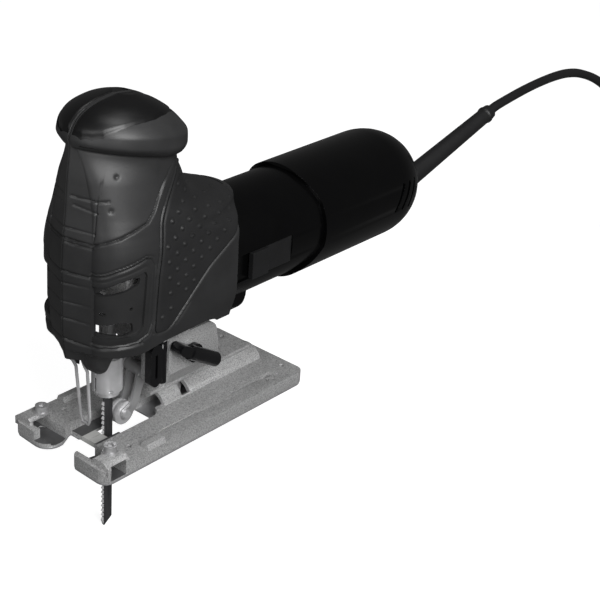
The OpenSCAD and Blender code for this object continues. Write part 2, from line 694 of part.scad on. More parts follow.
// ---------------------------------------------------------------- gears and plunger
module spur_gear()
    color(STEEL) {
        prism_y(gear_d, gear_d + gear_w) translate([0, gear_z]) difference() {
            gear_shape(gear_module, gear_teeth);
            circle(spindle_r + run);
            for (a = [0:60:359]) rotate(a + 30) translate([crank_r + 1, 0]) circle(2.5);
        }
        translate([crank_r * cos(crank_a), 0, crank_r * sin(crank_a)])
            rod_y(pin_r, plunger_d + plunger_dia / 2 + gap, gear_d + 1, 0, gear_z);
    }
module gear_spindle()
    color(STEEL) rod_y(spindle_r, gear_d - 2, plate_d + 8, 0, gear_z);
module crank_bush()
    color(CHROME) translate([crank_r * cos(crank_a), 0, crank_r * sin(crank_a)])
        ring_y(pin_r + seat, bush_r, plunger_d + plunger_dia / 2 + gap + 0.2, gear_d - gap, gear_z);
module plunger()
    color(CHROME) {
        difference() {
            union() {
                rod_z(plunger_dia / 2, clamp_z + 11.7, yoke_z - yoke_h / 2, 0, plunger_d);
                rod_z(plunger_dia / 2, yoke_z + yoke_h / 2 - 1, guide_hi[1] + lift + 1, 0, plunger_d);
                box(-yoke_x, yoke_x, plunger_d - yoke_t / 2, plunger_d + yoke_t / 2,
                    yoke_z - yoke_h / 2, yoke_z + yoke_h / 2);
            }
            box(-crank_r - bush_r - 0.2, crank_r + bush_r + 0.2, plunger_d - yoke_t, plunger_d + yoke_t,
                yoke_z - bush_r - run, yoke_z + bush_r + run);
        }
    }
module plunger_bushes()
    color([0.75, 0.60, 0.35]) for (g = [guide_lo, guide_hi]) difference() {
        rod_z(guide_r, g[0], g[1], 0, plunger_d);
        rod_z(plunger_dia / 2 + run, g[0] - 1, g[1] + 1, 0, plunger_d);
    }
module blade_clamp()
    color(CHROME) difference() {
        union() {
            rod_z(clamp_dia / 2, clamp_z + 3, clamp_z + clamp_h, 0, plunger_d, 64);
            rod_z(clamp_dia / 2 - 1.5, clamp_z, clamp_z + 3.1, 0, plunger_d, 64);
        }
        rod_z(plunger_dia / 2 + seat, clamp_z + 11.7, clamp_z + clamp_h + 1, 0, plunger_d);
        box(-blade_t / 2 - seat, blade_t / 2 + seat, plunger_d - 10, plunger_d + blade_w / 2 + 0.3,
            clamp_z - 1, clamp_z + 11.8);
        for (s = [-1, 1]) rod_x(1.2, s > 0 ? 5.5 : -10, s > 0 ? 10 : -5.5, plunger_d - 4, clamp_z + 4);
    }
tip_z = clamp_z - blade_l;
teeth_top = clamp_z - 4;
module blade()
    color(STEEL) translate([-blade_t / 2, 0, 0]) rotate([90, 0, 90]) linear_extrude(blade_t)
        polygon(concat(
            [[back(plunger_d + blade_w / 2), clamp_z + 11.4],
                [back(plunger_d - blade_w / 2 + 1), clamp_z + 11.4],
                [back(plunger_d - blade_w / 2 + 1), teeth_top]],
            [for (z = [teeth_top - 1:-tooth_pitch:tip_z + 4])
                for (p = [[1.2, 0], [-0.2, -tooth_pitch * 0.6]])
                    [back(plunger_d - blade_w / 2 + p[0]), z + p[1]]],
            [[back(plunger_d - blade_w / 2 + 1.4), tip_z], [back(plunger_d + blade_w / 2), tip_z + 4.2]]));

// ---------------------------------------------------------------- blade guide and levers
module release_lever()
    color(BLACK) difference() {
        union() {
            hull() for (z = [41.8, 59.2]) rod_x(3.8, 21.5, 26.4, 45.4, z);
            rod_z(2.6, 38, 63, release_x, release_d);
            box(21.5, 26.4, 45.4, release_d, 41.8, 59.2);
        }
        rod_z(1.4 + run, 30, 64, release_x, release_d);
        box(20, 30, 44.6, 46.2, 43, 57);
    }
module retainer_arm()
    color(STEEL) difference() {
        union() {
            for (s = [0, 1]) mirror([s, 0, 0]) {
                hull() {
                    rod_x(3.2, roller_x + gap, roller_x + 1.8, roller_d, roller_z);
                    rod_x(2.6, roller_x + gap, roller_x + 1.8, roller_d + 5.5, roller_z + 3.3);
                }
                hull() {
                    rod_x(2.6, roller_x + gap, roller_x + 1.8, roller_d + 5.5, roller_z + 3.3);
                    rod_x(3.6, roller_x + gap, roller_x + 1.8, arm_d, arm_z);
                }
            }
            rod_x(3.6, -ear_x[0] + gap, ear_x[0] - gap, arm_d, arm_z);
        }
        rod_x(arm_pin_r + run, -20, 20, arm_d, arm_z);
        rod_x(pin2_r + seat, -20, 20, roller_d, roller_z);
    }
pin2_r = 1.8;
module roller_pin()
    color(CHROME) {
        rod_x(pin2_r, -roller_x - 2, roller_x + 2, roller_d, roller_z);
        for (s = [-1, 1]) rod_x(2.6, s > 0 ? roller_x + 1.82 : -roller_x - 2.2,
            s > 0 ? roller_x + 2.2 : -roller_x - 1.82, roller_d, roller_z);
    }
module roller()
    color(STEEL) translate([0, back(roller_d), roller_z]) rotate([0, 90, 0]) rotate_extrude()
        polygon([[pin2_r + run, -roller_x], [roller_r, -roller_x], [roller_r, -1.2], [roller_r - 0.8, -0.9],
            [roller_r - 0.8, 0.9], [roller_r, 1.2], [roller_r, roller_x], [pin2_r + run, roller_x]]);
module arm_pin()
    color(STEEL) rod_x(arm_pin_r, -ear_x[1] - 1, ear_x[1] + 1, arm_d, arm_z);
module orbital_lever()
    color(BLACK) {
        translate([0, back(lever_d), lever_z]) rotate([-31, 0, 0]) {
            hull() for (y = [-15.8, -6]) translate([foot_x + 1.2 + gap, y, 0])
                rotate([0, 90, 0]) cylinder(r = 3, h = 8, $fn = 24);
            translate([foot_x + 1.2 + gap + 4.6, -8, 0]) rotate([-90, 0, 0]) cylinder(r = 4.2, h = 24);
            rotate([0, 90, 0]) translate([0, 0, foot_x + 1.2 + gap]) cylinder(r = 5.4, h = 3);
        }
        rod_x(lever_pin_r, foot_x - 5.5, foot_x + 3, lever_d, lever_z);
    }

// tube swept along a list of points
function unit(v) = v / norm(v);
function tangent(p, i) = unit(p[min(i + 1, len(p) - 1)] - p[max(i - 1, 0)]);
function side_of(t, s) = unit(s - (s * t) * t);
function frames(p, i = 0, s = [1, 0, 0]) = i >= len(p) ? [] :
    let (n = side_of(tangent(p, i), s)) concat([n], frames(p, i + 1, n));
module tube(p, r, n) {
    f = frames(p);
    k = len(p);
    pts = [for (i = [0:k - 1], j = [0:n - 1]) let (t = tangent(p, i), u = f[i], v = cross(t, u))
        p[i] + r * (cos(360 * j / n) * u + sin(360 * j / n) * v)];
    polyhedron(pts, concat([[for (j = [0:n - 1]) j]],
        [for (i = [0:k - 2], j = [0:n - 1]) [i * n + j, (i + 1) * n + j, (i + 1) * n + (j + 1) % n]],
        [for (i = [0:k - 2], j = [0:n - 1]) [i * n + j, (i + 1) * n + (j + 1) % n, i * n + (j + 1) % n]],
        [[for (j = [n - 1:-1:0]) (k - 1) * n + j]]));
}

// wire guard in front of the blade
wire_r = 0.9;
WIRE = [[29.8, 80], [22, 80], [19.8, 78.6], [18.6, 75], [14.2, 62], [13.4, 57.5], [14.6, 54], [17, 49],
    [19.4, 20], [19.7, 16.4], [19.8, 15]];
function wire_x(z) = 4.6 - max(0, min(1, (57 - z) / 40)) * 1 - max(0, 18 - z) * 0.5;
module wire_guard()
    color(CHROME) tube(concat([for (p = WIRE) [-wire_x(p[1]), back(p[0]), p[1]]],
        [for (i = [len(WIRE) - 1:-1:0]) let (p = WIRE[i]) [wire_x(p[1]), back(p[0]), p[1]]]),
        wire_r, 10);

// ---------------------------------------------------------------- base
ridge_d = [69, 69 + ridge_l];
module tilt_bracket()
    color(ALLOY) difference() {
        prism_y(60, 140) polygon([[-4.3, 14], [-4.3, 15.6], [-saddle_x, 18.9],
            [-saddle_x, foot_bottom - seat],
            [saddle_x, foot_bottom - seat], [saddle_x, 18.9], [4.3, 15.6], [4.3, 14]]);
        rod_y(ridge_r + gap, 50, 150, 0, tilt_z, 96);
        rod_z(bolt_r + seat, 0, 30, 0, bolt_d);
    }
module tilt_bolt()
    color(STEEL) {
        rod_z(bolt_r, ridge_inner + tilt_z - 2, foot_bottom + 12, 0, bolt_d);
        rod_z(3.9, ridge_inner + tilt_z - 4.5, ridge_inner + tilt_z - 1.4, 0, bolt_d);
    }
ridge_inner = ridge_r - 2.6;

// plan outline of the base; mouth between the toes, open notch behind it
module base_plan(inset = 0) {
    x1 = base_w / 2 - inset;
    y0 = back(0) + inset;
    y1 = back(base_l) - inset;
    n = notch_w / 2 + inset;
    polygon(concat(
        arc(x1 - 5, y1 - 5, 5, 5, 0, 90, 5), arc(5 - x1, y1 - 5, 5, 5, 90, 180, 5),
        arc(6 - x1, y0 + 6.5, 6, 6, 180, 250, 4),
        arc(-18, y0 + 9, 9, 9, -90, 0, 6), [[-9.2, back(12)], [-n, back(20)]],
        [[-n, back(mouth_d) - inset], [n, back(mouth_d) - inset]],
        [[n, back(17)], [11.5, back(9)], [10.2, back(4)]], arc(13.5, y0 + 3.5, 3, 3, 200, 270, 3),
        arc(x1 - 6, y0 + 6, 6, 6, -90, 0, 5)));
}
notch_corner = 7;
module notch_recess()
    translate([0, back(mouth_d), 0]) {
        translate([-notch_w / 2, -1]) square([notch_w, notch_d - mouth_d - notch_corner + 1]);
        for (s = [-1, 1]) translate([s * (notch_w / 2 - notch_corner), notch_d - mouth_d - notch_corner])
            circle(notch_corner);
        translate([-notch_w / 2 + notch_corner, 0])
            square([notch_w - 2 * notch_corner, notch_d - mouth_d]);
    }
fence_d = 4.4;
module base_plate()
    color(SATIN) difference() {
        union() {
            translate([0, 0, sole_t]) linear_extrude(base_t - sole_t) base_plan();
            rod_y(ridge_r, ridge_d[0], ridge_d[1], 0, tilt_z, 96);
            for (s = [-1, 1]) mirror([s > 0 ? 0 : 1, 0, 0]) {
                prism_y(fence_d - 2.4, fence_d + fence_w + 2.4) polygon([[24.5, base_t - 3], [24.5, 12],
                    [26, 13], [33, 13], [base_w / 2, 10.5], [base_w / 2, base_t - 3]]);
                rod_z(5, base_t - 1, 13, 27, fence_d + 8);
                prism_y(31, 44) polygon([[base_w / 2 - 7, base_t - 1], [base_w / 2 - 5.5, 12],
                    [base_w / 2 - 1.5, 12], [base_w / 2, base_t - 1]]);
            }
        }
        rod_y(ridge_inner, 60, 160 - 9, 0, tilt_z, 96);
        box(-ridge_inner, ridge_inner, 68, ridge_d[1], sole_t - 1, tilt_z);
        translate([-far, -far, -far]) cube([2 * far, 2 * far, far + sole_t]);
        translate([0, 0, sole_t + floor_t]) linear_extrude(40) notch_recess();
        translate([0, 0, -1]) linear_extrude(40) translate([-slot_w / 2, back(mouth_d) - 1])
            square([slot_w, notch_d - mouth_d - 4]);
        box(-roller_w, roller_w, plunger_d + blade_w / 2 + 0.5, notch_d - 3, -1, 40);
        // rip-fence slots
        for (s = [-1, 1]) {
            box(s > 0 ? 8 : -60, s > 0 ? 60 : -8, fence_d, fence_d + fence_w, 2.4, 2.4 + fence_h);
            box(s > 0 ? 8 : -24.5, s > 0 ? 24.5 : -8, fence_d, fence_d + fence_w, 2.4, 40);
        }
        box(-19, -8, -5, fence_d + 1, 3.6, 40);
        for (s = [-1, 1]) rod_z(2 + seat, 2, 40, 27 * s, fence_d + 8);
        // slot for the tilt bolt, holes and marks
        prism_y(bolt_d - 3.2, bolt_d + 3.2) translate([0, tilt_z]) difference() {
            intersection() {
                circle(ridge_r + 1);
                polygon([[0, 0], [18, 8.5], [18, 30], [-18, 30], [-18, 8.5]]);
            }
            circle(ridge_inner - 0.5);
        }
        for (s = [-1, 1]) {
            box(26 * s - 0.4, 26 * s + 0.4, 104, 132, base_t - 0.8, 40);
            box(26 * s - 1.8, 26 * s + 1.8, 131, 139, base_t - 3, 40);
            box(26 * s - 0.4, 26 * s + 0.4, 49, 76, base_t - 0.8, 40);
            rod_z(1.4, base_t - 3, 40, 24 * s, 151);
            rod_z(1.6, base_t - 3, 40, 25.4 * s, 27);
        }
    }
module sole_plate()
    color(STEEL) difference() {
        linear_extrude(sole_t - seat) base_plan(0.3);
        translate([0, 0, -1]) linear_extrude(10) translate([-7, back(mouth_d) - 1])
            square([14, notch_d - mouth_d + 1]);
        box(-roller_w - 1, roller_w + 1, plunger_d + blade_w / 2 + 0.5, notch_d, -1, 10);
        translate([0, back(bolt_d), -1]) cylinder(r = 5, h = 10);
    }
module splinter_insert()
    color(CREAM) difference() {
        union() {
            box(-slot_w / 2 + seat, slot_w / 2 - seat, mouth_d + 0.4, plunger_d - blade_w / 2 - 0.5,
                sole_t, sole_t + floor_t);
            box(-7 + seat, 7 - seat, mouth_d + 0.4, plunger_d - blade_w / 2 - 0.5, 0.2, sole_t);
        }
        box(-0.35, 0.35, plunger_d - blade_w / 2 - 8, plunger_d, -1, 10);
    }
module fence_screws()
    color(STEEL) for (s = [-1, 1]) {
        rod_z(2, 10, 13.5, 27 * s, fence_d + 8);
        rod_z(4.3, 13.02, 13.8, 27 * s, fence_d + 8);
        difference() {
            rod_z(3.5, 13.7, 17, 27 * s, fence_d + 8);
            translate([27 * s, back(fence_d + 8), 15.5]) cylinder(r = 1.9, h = 5, $fn = 6);
        }
    }
module shell_screws()
    color(STEEL) for (p = SHELL_SCREWS) {
        rod_x(1.45, -12, 8, p[0], p[1], 16);
        rod_x(2.9, -14.4, -11.98, p[0], p[1], 24);
    }

// ---------------------------------------------------------------- cord
floor_z = tip_z - 1.5;
cord_z = floor_z + cord_dia / 2;
coil_at = [31, 566];
coil_r = 40;
coil_turns = [3, 3];
// point beside the coil's outer turn
function coil_side(a) =
    let (r = coil_r + cord_dia * (0.49 * (coil_turns[0] - 1) + 1) + 0.15)
    [coil_at[0] + r * cos(a), coil_at[1] + r * sin(a), cord_z];
guard_dir = [0, cos(guard_a), sin(guard_a)];
guard_end = [0, back(guard_d), guard_z] + guard_l * guard_dir;
CORD = concat([guard_end - (guard_l + 26) * guard_dir, guard_end - 8 * guard_dir, guard_end,
        guard_end + 8 * guard_dir], [
    [0, 330, 109.8], [0, 348, 111.6], [0, 366, 112.6], [0, 386, 112.7],
    [0, 404, 111.2], [1, 421, 107.6], [4, 440, 100], [7, 458, 88], [10, 474, 71], [11.5, 488, 50],
    [10.8, 500, 27], [7.5, 509, 3], [3, 516, -17], [-1.5, 522, -33], [-7, 528.2, -45.5],
    [-13.2, 535.2, cord_z + 3.6], coil_side(205), coil_side(195)]);
module power_cord()
    color(RUBBER) tube(CORD, cord_dia / 2, 10);
module cord_coil()
    color(RUBBER) translate([coil_at[0], coil_at[1], floor_z]) rotate_extrude($fn = 64)
        for (i = [0:coil_turns[0] - 1], j = [0:coil_turns[1] - 1])
            translate([coil_r + (i - (coil_turns[0] - 1) / 2) * cord_dia * 0.98,
                (j * 0.98 + 0.5) * cord_dia]) {
                    circle(cord_dia / 2, $fn = 20);
                    if (i > 0 && j > 0) translate([-cord_dia * 0.98, -cord_dia * 0.98])
                        square(cord_dia * 0.98);
                }
coil_in = coil_r - cord_dia * (0.49 * (coil_turns[0] - 1) + 0.5);
coil_out = coil_r + cord_dia * (0.49 * (coil_turns[0] - 1) + 0.5);
coil_h = cord_dia * (0.98 * (coil_turns[1] - 1) + 1);
module cord_tie()
    color(DARK) translate([coil_at[0], coil_at[1], floor_z]) difference() {
        translate([-3, coil_in - 1.7, 0]) cube([6, coil_out - coil_in + 3.2, coil_h + 1.4]);
        translate([-4, coil_in - 0.2, -1]) cube([8, coil_out - coil_in + 0.3, coil_h + 1.1]);
    }
// plug laid on the coil's turns, its pins towards -Y
plug_x = coil_at[0] + coil_r - 4;
plug_z = floor_z + coil_h + seat;
module plug()
    color(BLACK) translate([plug_x, coil_at[1], plug_z]) hull() {
        translate([-8, -8, 0]) cube([16, 26, 10]);
        translate([-13, -18, 0]) cube([26, 10, 14]);
    }
module plug_pins()
    color(CHROME) for (s = [-1, 1]) translate([plug_x + 9.5 * s, coil_at[1] - 18, plug_z + 7])
        rotate([90, 0, 0]) cylinder(r = 2.4, h = 19);

head_shell_left();
head_shell_right();
knob_pad_left();
knob_pad_right();
grip_panel_left();
grip_panel_right();
vent_frame_left();
vent_frame_right();
gear_housing();
bearing_plate();
motor_housing();
rear_cover();
armature_shaft();
armature_core();
armature_windings();
commutator();
cooling_fan();
front_bearing();
rear_bearing();
field_core();
field_windings();
brush_holders();
carbon_brushes();
spur_gear();
gear_spindle();
crank_bush();
plunger();
plunger_bushes();
blade_clamp();
blade();
release_lever();
retainer_arm();
roller();
roller_pin();
arm_pin();
orbital_lever();
wire_guard();
tilt_bracket();
base_plate();
sole_plate();
splinter_insert();
fence_screws();
tilt_bolt();
shell_screws();
switch_slider();
switch_link();
switch_block();
noise_capacitor();
cord_guard();
cord_clamp();
clamp_screws();
power_cord();
cord_coil();
cord_tie();
plug();
plug_pins();
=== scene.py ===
import bpy
import bmesh
import math
import numpy as np
from mathutils import Matrix, Vector


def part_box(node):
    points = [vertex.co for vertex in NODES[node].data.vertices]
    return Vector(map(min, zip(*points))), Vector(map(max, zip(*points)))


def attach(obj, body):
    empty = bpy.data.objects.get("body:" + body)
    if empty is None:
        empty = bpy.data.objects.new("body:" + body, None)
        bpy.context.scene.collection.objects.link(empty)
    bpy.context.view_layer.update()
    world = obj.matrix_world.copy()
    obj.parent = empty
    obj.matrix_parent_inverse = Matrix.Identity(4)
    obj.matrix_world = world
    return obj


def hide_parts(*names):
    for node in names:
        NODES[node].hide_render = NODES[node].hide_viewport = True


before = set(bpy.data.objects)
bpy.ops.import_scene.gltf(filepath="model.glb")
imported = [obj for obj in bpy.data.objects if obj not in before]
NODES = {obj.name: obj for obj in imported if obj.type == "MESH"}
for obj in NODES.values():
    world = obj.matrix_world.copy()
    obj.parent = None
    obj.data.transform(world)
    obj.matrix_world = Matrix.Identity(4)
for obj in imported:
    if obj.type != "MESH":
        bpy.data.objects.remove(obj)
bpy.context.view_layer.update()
scene = bpy.context.scene
BASE_FRONT = 78.5  # mm from the frame's origin forward to the front edge of the base
FLOOR_Z = -59.5    # mm


# ------------------------------------------------------------------ camera
AZIMUTH, ELEVATION, ROLL = 0.6746358, 0.4732240, 0.0735792  # radians, fitted to the photograph
EYE = (127.716, 84.586, 777.957)  # mm from the base's front edge: to the right, up and back along the view
SENSOR = 36                       # mm
PICTURE = 600                     # pixels across
FOCAL = 1476.4                    # focal length in pixels


def make_camera():
    back = Vector((math.sin(AZIMUTH) * math.cos(ELEVATION), -math.cos(AZIMUTH) * math.cos(ELEVATION),
                   math.sin(ELEVATION)))
    right = Vector((math.cos(AZIMUTH), math.sin(AZIMUTH), 0))
    up = back.cross(right)
    cam_right = math.cos(ROLL) * right + math.sin(ROLL) * up
    cam_up = -math.sin(ROLL) * right + math.cos(ROLL) * up
    place = EYE[0] * cam_right + EYE[1] * cam_up + EYE[2] * back
    place.y -= BASE_FRONT
    data = bpy.data.cameras.new("camera")
    data.sensor_width = SENSOR
    data.lens = FOCAL * SENSOR / PICTURE
    data.clip_start, data.clip_end = 0.01, 50
    cam = bpy.data.objects.new("camera", data)
    m = Matrix((cam_right, cam_up, back)).transposed().to_4x4()
    m.translation = place / 1000
    cam.matrix_world = m
    scene.collection.objects.link(cam)
    scene.camera = cam


make_camera()


# ------------------------------------------------------------------ materials
def new_material(name, color, rough, metallic=0.0, specular=0.5):
    mat = bpy.data.materials.new(name)
    mat.use_nodes = True
    nt = mat.node_tree
    bsdf = nt.nodes["Principled BSDF"]
    bsdf.inputs["Base Color"].default_value = (*color, 1)
    bsdf.inputs["Roughness"].default_value = rough
    bsdf.inputs["Metallic"].default_value = metallic
    bsdf.inputs["Specular IOR Level"].default_value = specular
    return mat, nt, bsdf


def coords(nt, scale=(1, 1, 1)):
    """Object coordinates in metres, scaled along x, y and z."""
    tc = nt.nodes.new("ShaderNodeTexCoord")
    mp = nt.nodes.new("ShaderNodeMapping")
    mp.inputs["Scale"].default_value = scale
    nt.links.new(tc.outputs["Object"], mp.inputs["Vector"])
    return mp.outputs["Vector"]


def noise(nt, vec, scale, detail=3.0, rough=0.5):
    n = nt.nodes.new("ShaderNodeTexNoise")
    n.inputs["Scale"].default_value = scale
    n.inputs["Detail"].default_value = detail
    n.inputs["Roughness"].default_value = rough
    nt.links.new(vec, n.inputs["Vector"])
    return n.outputs["Fac"]


def ramp(nt, fac, stops):
    """Colour by fac, between stops of (position, colour)."""
    r = nt.nodes.new("ShaderNodeValToRGB")
    cr = r.color_ramp
    while len(cr.elements) < len(stops):
        cr.elements.new(0.5)
    for el, (p, c) in zip(cr.elements, stops):
        el.position = p
        el.color = (*c, 1)
    nt.links.new(fac, r.inputs["Fac"])
    return r.outputs["Color"]


def bump(nt, bsdf, height, strength, distance):
    b = nt.nodes.new("ShaderNodeBump")
    b.inputs["Strength"].default_value = strength
    b.inputs["Distance"].default_value = distance
    nt.links.new(height, b.inputs["Height"])
    nt.links.new(b.outputs["Normal"], bsdf.inputs["Normal"])


def to_rough(nt, bsdf, fac, lo, hi):
    """Roughness from lo to hi, by fac."""
    m = nt.nodes.new("ShaderNodeMapRange")
    m.inputs["To Min"].default_value = lo
    m.inputs["To Max"].default_value = hi
    nt.links.new(fac, m.inputs["Value"])
    nt.links.new(m.outputs["Result"], bsdf.inputs["Roughness"])


def plastic(name, color, rough, grain=0.0, grain_scale=2600, spread=0.06, specular=0.5):
    """Moulded plastic or rubber: faint clouds of colour and gloss, and a fine moulded grain."""
    mat, nt, bsdf = new_material(name, color, rough, specular=specular)
    vec = coords(nt)
    cloud = noise(nt, vec, 60, 4)
    lo = tuple(c * 0.86 for c in color)
    hi = tuple(min(1, c * 1.14) for c in color)
    nt.links.new(ramp(nt, cloud, [(0.3, lo), (0.7, hi)]), bsdf.inputs["Base Color"])
    to_rough(nt, bsdf, noise(nt, vec, 140, 3), max(0.02, rough - spread), rough + spread)
    if grain:
        bump(nt, bsdf, noise(nt, vec, grain_scale, 2), grain, 0.00012)
    return mat


def metal(name, color, rough, spread=0.08, brushed=None, pits=0.0, pit_scale=1500, metallic=1.0):
    """Machined metal; brushed is the stretch of its marks along x, y and z."""
    mat, nt, bsdf = new_material(name, color, rough, metallic=metallic)
    vec = coords(nt)
    lo = tuple(c * 0.82 for c in color)
    hi = tuple(min(1, c * 1.1) for c in color)
    nt.links.new(ramp(nt, noise(nt, vec, 90, 5), [(0.3, lo), (0.7, hi)]), bsdf.inputs["Base Color"])
    src = noise(nt, coords(nt, brushed), 900, 3) if brushed else noise(nt, vec, 300, 3)
    to_rough(nt, bsdf, src, max(0.03, rough - spread), rough + spread)
    if brushed:
        bump(nt, bsdf, src, 0.12, 0.00008)
    if pits:
        bump(nt, bsdf, noise(nt, vec, pit_scale, 4, 0.65), pits, 0.0003)
    return mat


def math_node(nt, kind, a, b):
    n = nt.nodes.new("ShaderNodeMath")
    n.operation = kind
    for socket, value in zip(n.inputs, (a, b)):
        if isinstance(value, (int, float)):
            socket.default_value = value
        else:
            nt.links.new(value, socket)
    return n.outputs["Value"]


def split(nt, output="Object"):
    """X, Y and Z of a texture coordinate; Object's are in metres."""
    tc = nt.nodes.new("ShaderNodeTexCoord")
    sep = nt.nodes.new("ShaderNodeSeparateXYZ")
    nt.links.new(tc.outputs[output], sep.inputs["Vector"])
    return sep.outputs


def mix_color(nt, fac, a, b):
    n = nt.nodes.new("ShaderNodeMix")
    n.data_type = "RGBA"
    nt.links.new(fac, n.inputs["Factor"])
    for socket, value in zip((n.inputs[6], n.inputs[7]), (a, b)):
        if hasattr(value, "node"):
            nt.links.new(value, socket)
        else:
            socket.default_value = (*value, 1)
    return n.outputs[2]


def cast_alloy(name, bright, dark, rough):
    """Sand-cast alloy: fine light and dark grit."""
    mat, nt, bsdf = new_material(name, bright, rough, metallic=0.35)
    vec = coords(nt)
    grit = noise(nt, vec, 1400, 5, 0.7)
    top = tuple(min(1, c * 1.25) for c in bright)
    nt.links.new(ramp(nt, grit, [(0.36, dark), (0.5, bright), (0.66, top)]), bsdf.inputs["Base Color"])
    to_rough(nt, bsdf, noise(nt, vec, 700, 3), rough - 0.1, rough + 0.12)
    bump(nt, bsdf, grit, 0.75, 0.00035)
    return mat


def base_alloy(name):
    """Base casting: darker satin on the sunk floor round the slot, gritty cast faces elsewhere."""
    mat, nt, bsdf = new_material(name, (0.3, 0.3, 0.3), 0.45, metallic=0.4)
    vec = coords(nt)
    grit = noise(nt, vec, 1500, 5, 0.7)
    gritty = ramp(nt, grit, [(0.34, (0.17, 0.17, 0.175)), (0.5, (0.40, 0.40, 0.40)),
                             (0.66, (0.58, 0.58, 0.58))])
    # cloud of lighter and darker tone in the darker satin of the sunk floor
    satin_cloud = noise(nt, vec, 55, 5, 0.6)
    satin = ramp(nt, satin_cloud, [(0.25, (0.06, 0.06, 0.062)), (0.55, (0.10, 0.10, 0.102)),
                            (0.8, (0.18, 0.18, 0.18))])
    up = split(nt, "Normal")["Z"]
    place = split(nt)
    level = math_node(nt, "GREATER_THAN", up, 0.96)
    low = math_node(nt, "LESS_THAN", place["Z"], (SUNK_Z + 0.6) / 1000)
    sunk = math_node(nt, "MULTIPLY", level, low)
    nt.links.new(mix_color(nt, sunk, gritty, satin), bsdf.inputs["Base Color"])
    to_rough(nt, bsdf, noise(nt, vec, 600, 3), 0.32, 0.55)
    smoother = math_node(nt, "MULTIPLY", sunk, 0.85)
    height = math_node(nt, "MULTIPLY", grit, math_node(nt, "SUBTRACT", 1.05, smoother))
    bump(nt, bsdf, height, 0.6, 0.00032)
    return mat


def blade_steel(name):
    """Dark rolled steel with bright ground teeth along the front edge."""
    mat, nt, bsdf = new_material(name, (0.05, 0.05, 0.052), 0.3, metallic=0.5)
    vec = coords(nt, (1, 1, 0.05))
    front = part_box("blade")[0][1]
    tooth = math_node(nt, "LESS_THAN", split(nt)["Y"], front + TOOTH_DEPTH)
    body = ramp(nt, noise(nt, vec, 700, 3), [(0.3, (0.035, 0.035, 0.037)), (0.7, (0.075, 0.075, 0.078))])
    nt.links.new(mix_color(nt, tooth, body, (0.75, 0.75, 0.76)), bsdf.inputs["Base Color"])
    to_rough(nt, bsdf, noise(nt, vec, 900, 3), 0.2, 0.4)
    return mat


TOOTH_DEPTH = 0.0011                             # metres of the blade's front edge that are ground bright
SUNK_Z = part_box("splinter_insert")[1][2] * 1000  # mm, the insert's top is flush with the sunk floor
MAT = {
    "head": plastic("head_plastic", (0.026, 0.026, 0.0265), 0.40, grain=0.20, spread=0.05, specular=0.34),
    "head_low": plastic("head_low_plastic", (0.021, 0.021, 0.0215), 0.40, grain=0.20, spread=0.05,
                        specular=0.28),
    "pad": plastic("knob_gloss", (0.0015, 0.0015, 0.0017), 0.38, spread=0.04),
    "grip": plastic("grip_rubber", (0.0150, 0.0150, 0.0155), 0.50, grain=0.5, grain_scale=1900, spread=0.07,
                    specular=0.3),
    "vent": plastic("vent_plastic", (0.019, 0.019, 0.0194), 0.34, grain=0.15, spread=0.05, specular=0.35),
    "barrel": plastic("barrel_gloss", (0.0012, 0.0012, 0.0013), 0.25, grain=0.03, grain_scale=500,
                      spread=0.05, specular=0.22),
    "cover": plastic("cover_gloss", (0.0012, 0.0012, 0.0013), 0.25, grain=0.03, grain_scale=500,
                     spread=0.05, specular=0.22),
    "guard": plastic("guard_rubber", (0.008, 0.008, 0.0085), 0.45, grain=0.3, grain_scale=1500),
    "cord": plastic("cord_rubber", (0.008, 0.008, 0.0085), 0.40, grain=0.25, grain_scale=900),
    "lever": plastic("lever_plastic", (0.004, 0.004, 0.0045), 0.22, grain=0.08, spread=0.05),
    "switch": plastic("switch_plastic", (0.011, 0.011, 0.0115), 0.36, grain=0.3, grain_scale=2200,
                      specular=0.25),
    "ivory": plastic("inner_plastic", (0.60, 0.55, 0.44), 0.5, grain=0.2),
    "insert": plastic("insert_plastic", (0.42, 0.42, 0.41), 0.45, grain=0.2),
    "tie": plastic("tie_plastic", (0.03, 0.03, 0.032), 0.4, grain=0.2),
    "cast": cast_alloy("cast_alloy", (0.42, 0.42, 0.42), (0.15, 0.15, 0.155), 0.46),
    "base": base_alloy("base_alloy"),
    "sole": metal("sole_steel", (0.42, 0.42, 0.43), 0.36, brushed=(1, 0.03, 1), metallic=0.6),
    "steel": metal("machined_steel", (0.42, 0.42, 0.425), 0.34, brushed=(0.2, 1, 1), metallic=0.6),
    "chrome": metal("chrome_bright", (0.66, 0.66, 0.67), 0.24, spread=0.05, metallic=0.6),
    "blade": blade_steel("blade_steel"),
    "lamination": metal("lamination_steel", (0.30, 0.30, 0.31), 0.5, brushed=(1, 0.02, 1)),
    "copper": metal("copper_wire", (0.62, 0.24, 0.10), 0.3, pits=0.3, pit_scale=900),
    "bronze": metal("bronze_bush", (0.50, 0.33, 0.15), 0.35, pits=0.2, pit_scale=2500),
    "carbon": plastic("carbon_brush", (0.03, 0.03, 0.032), 0.6, grain=0.4),
}


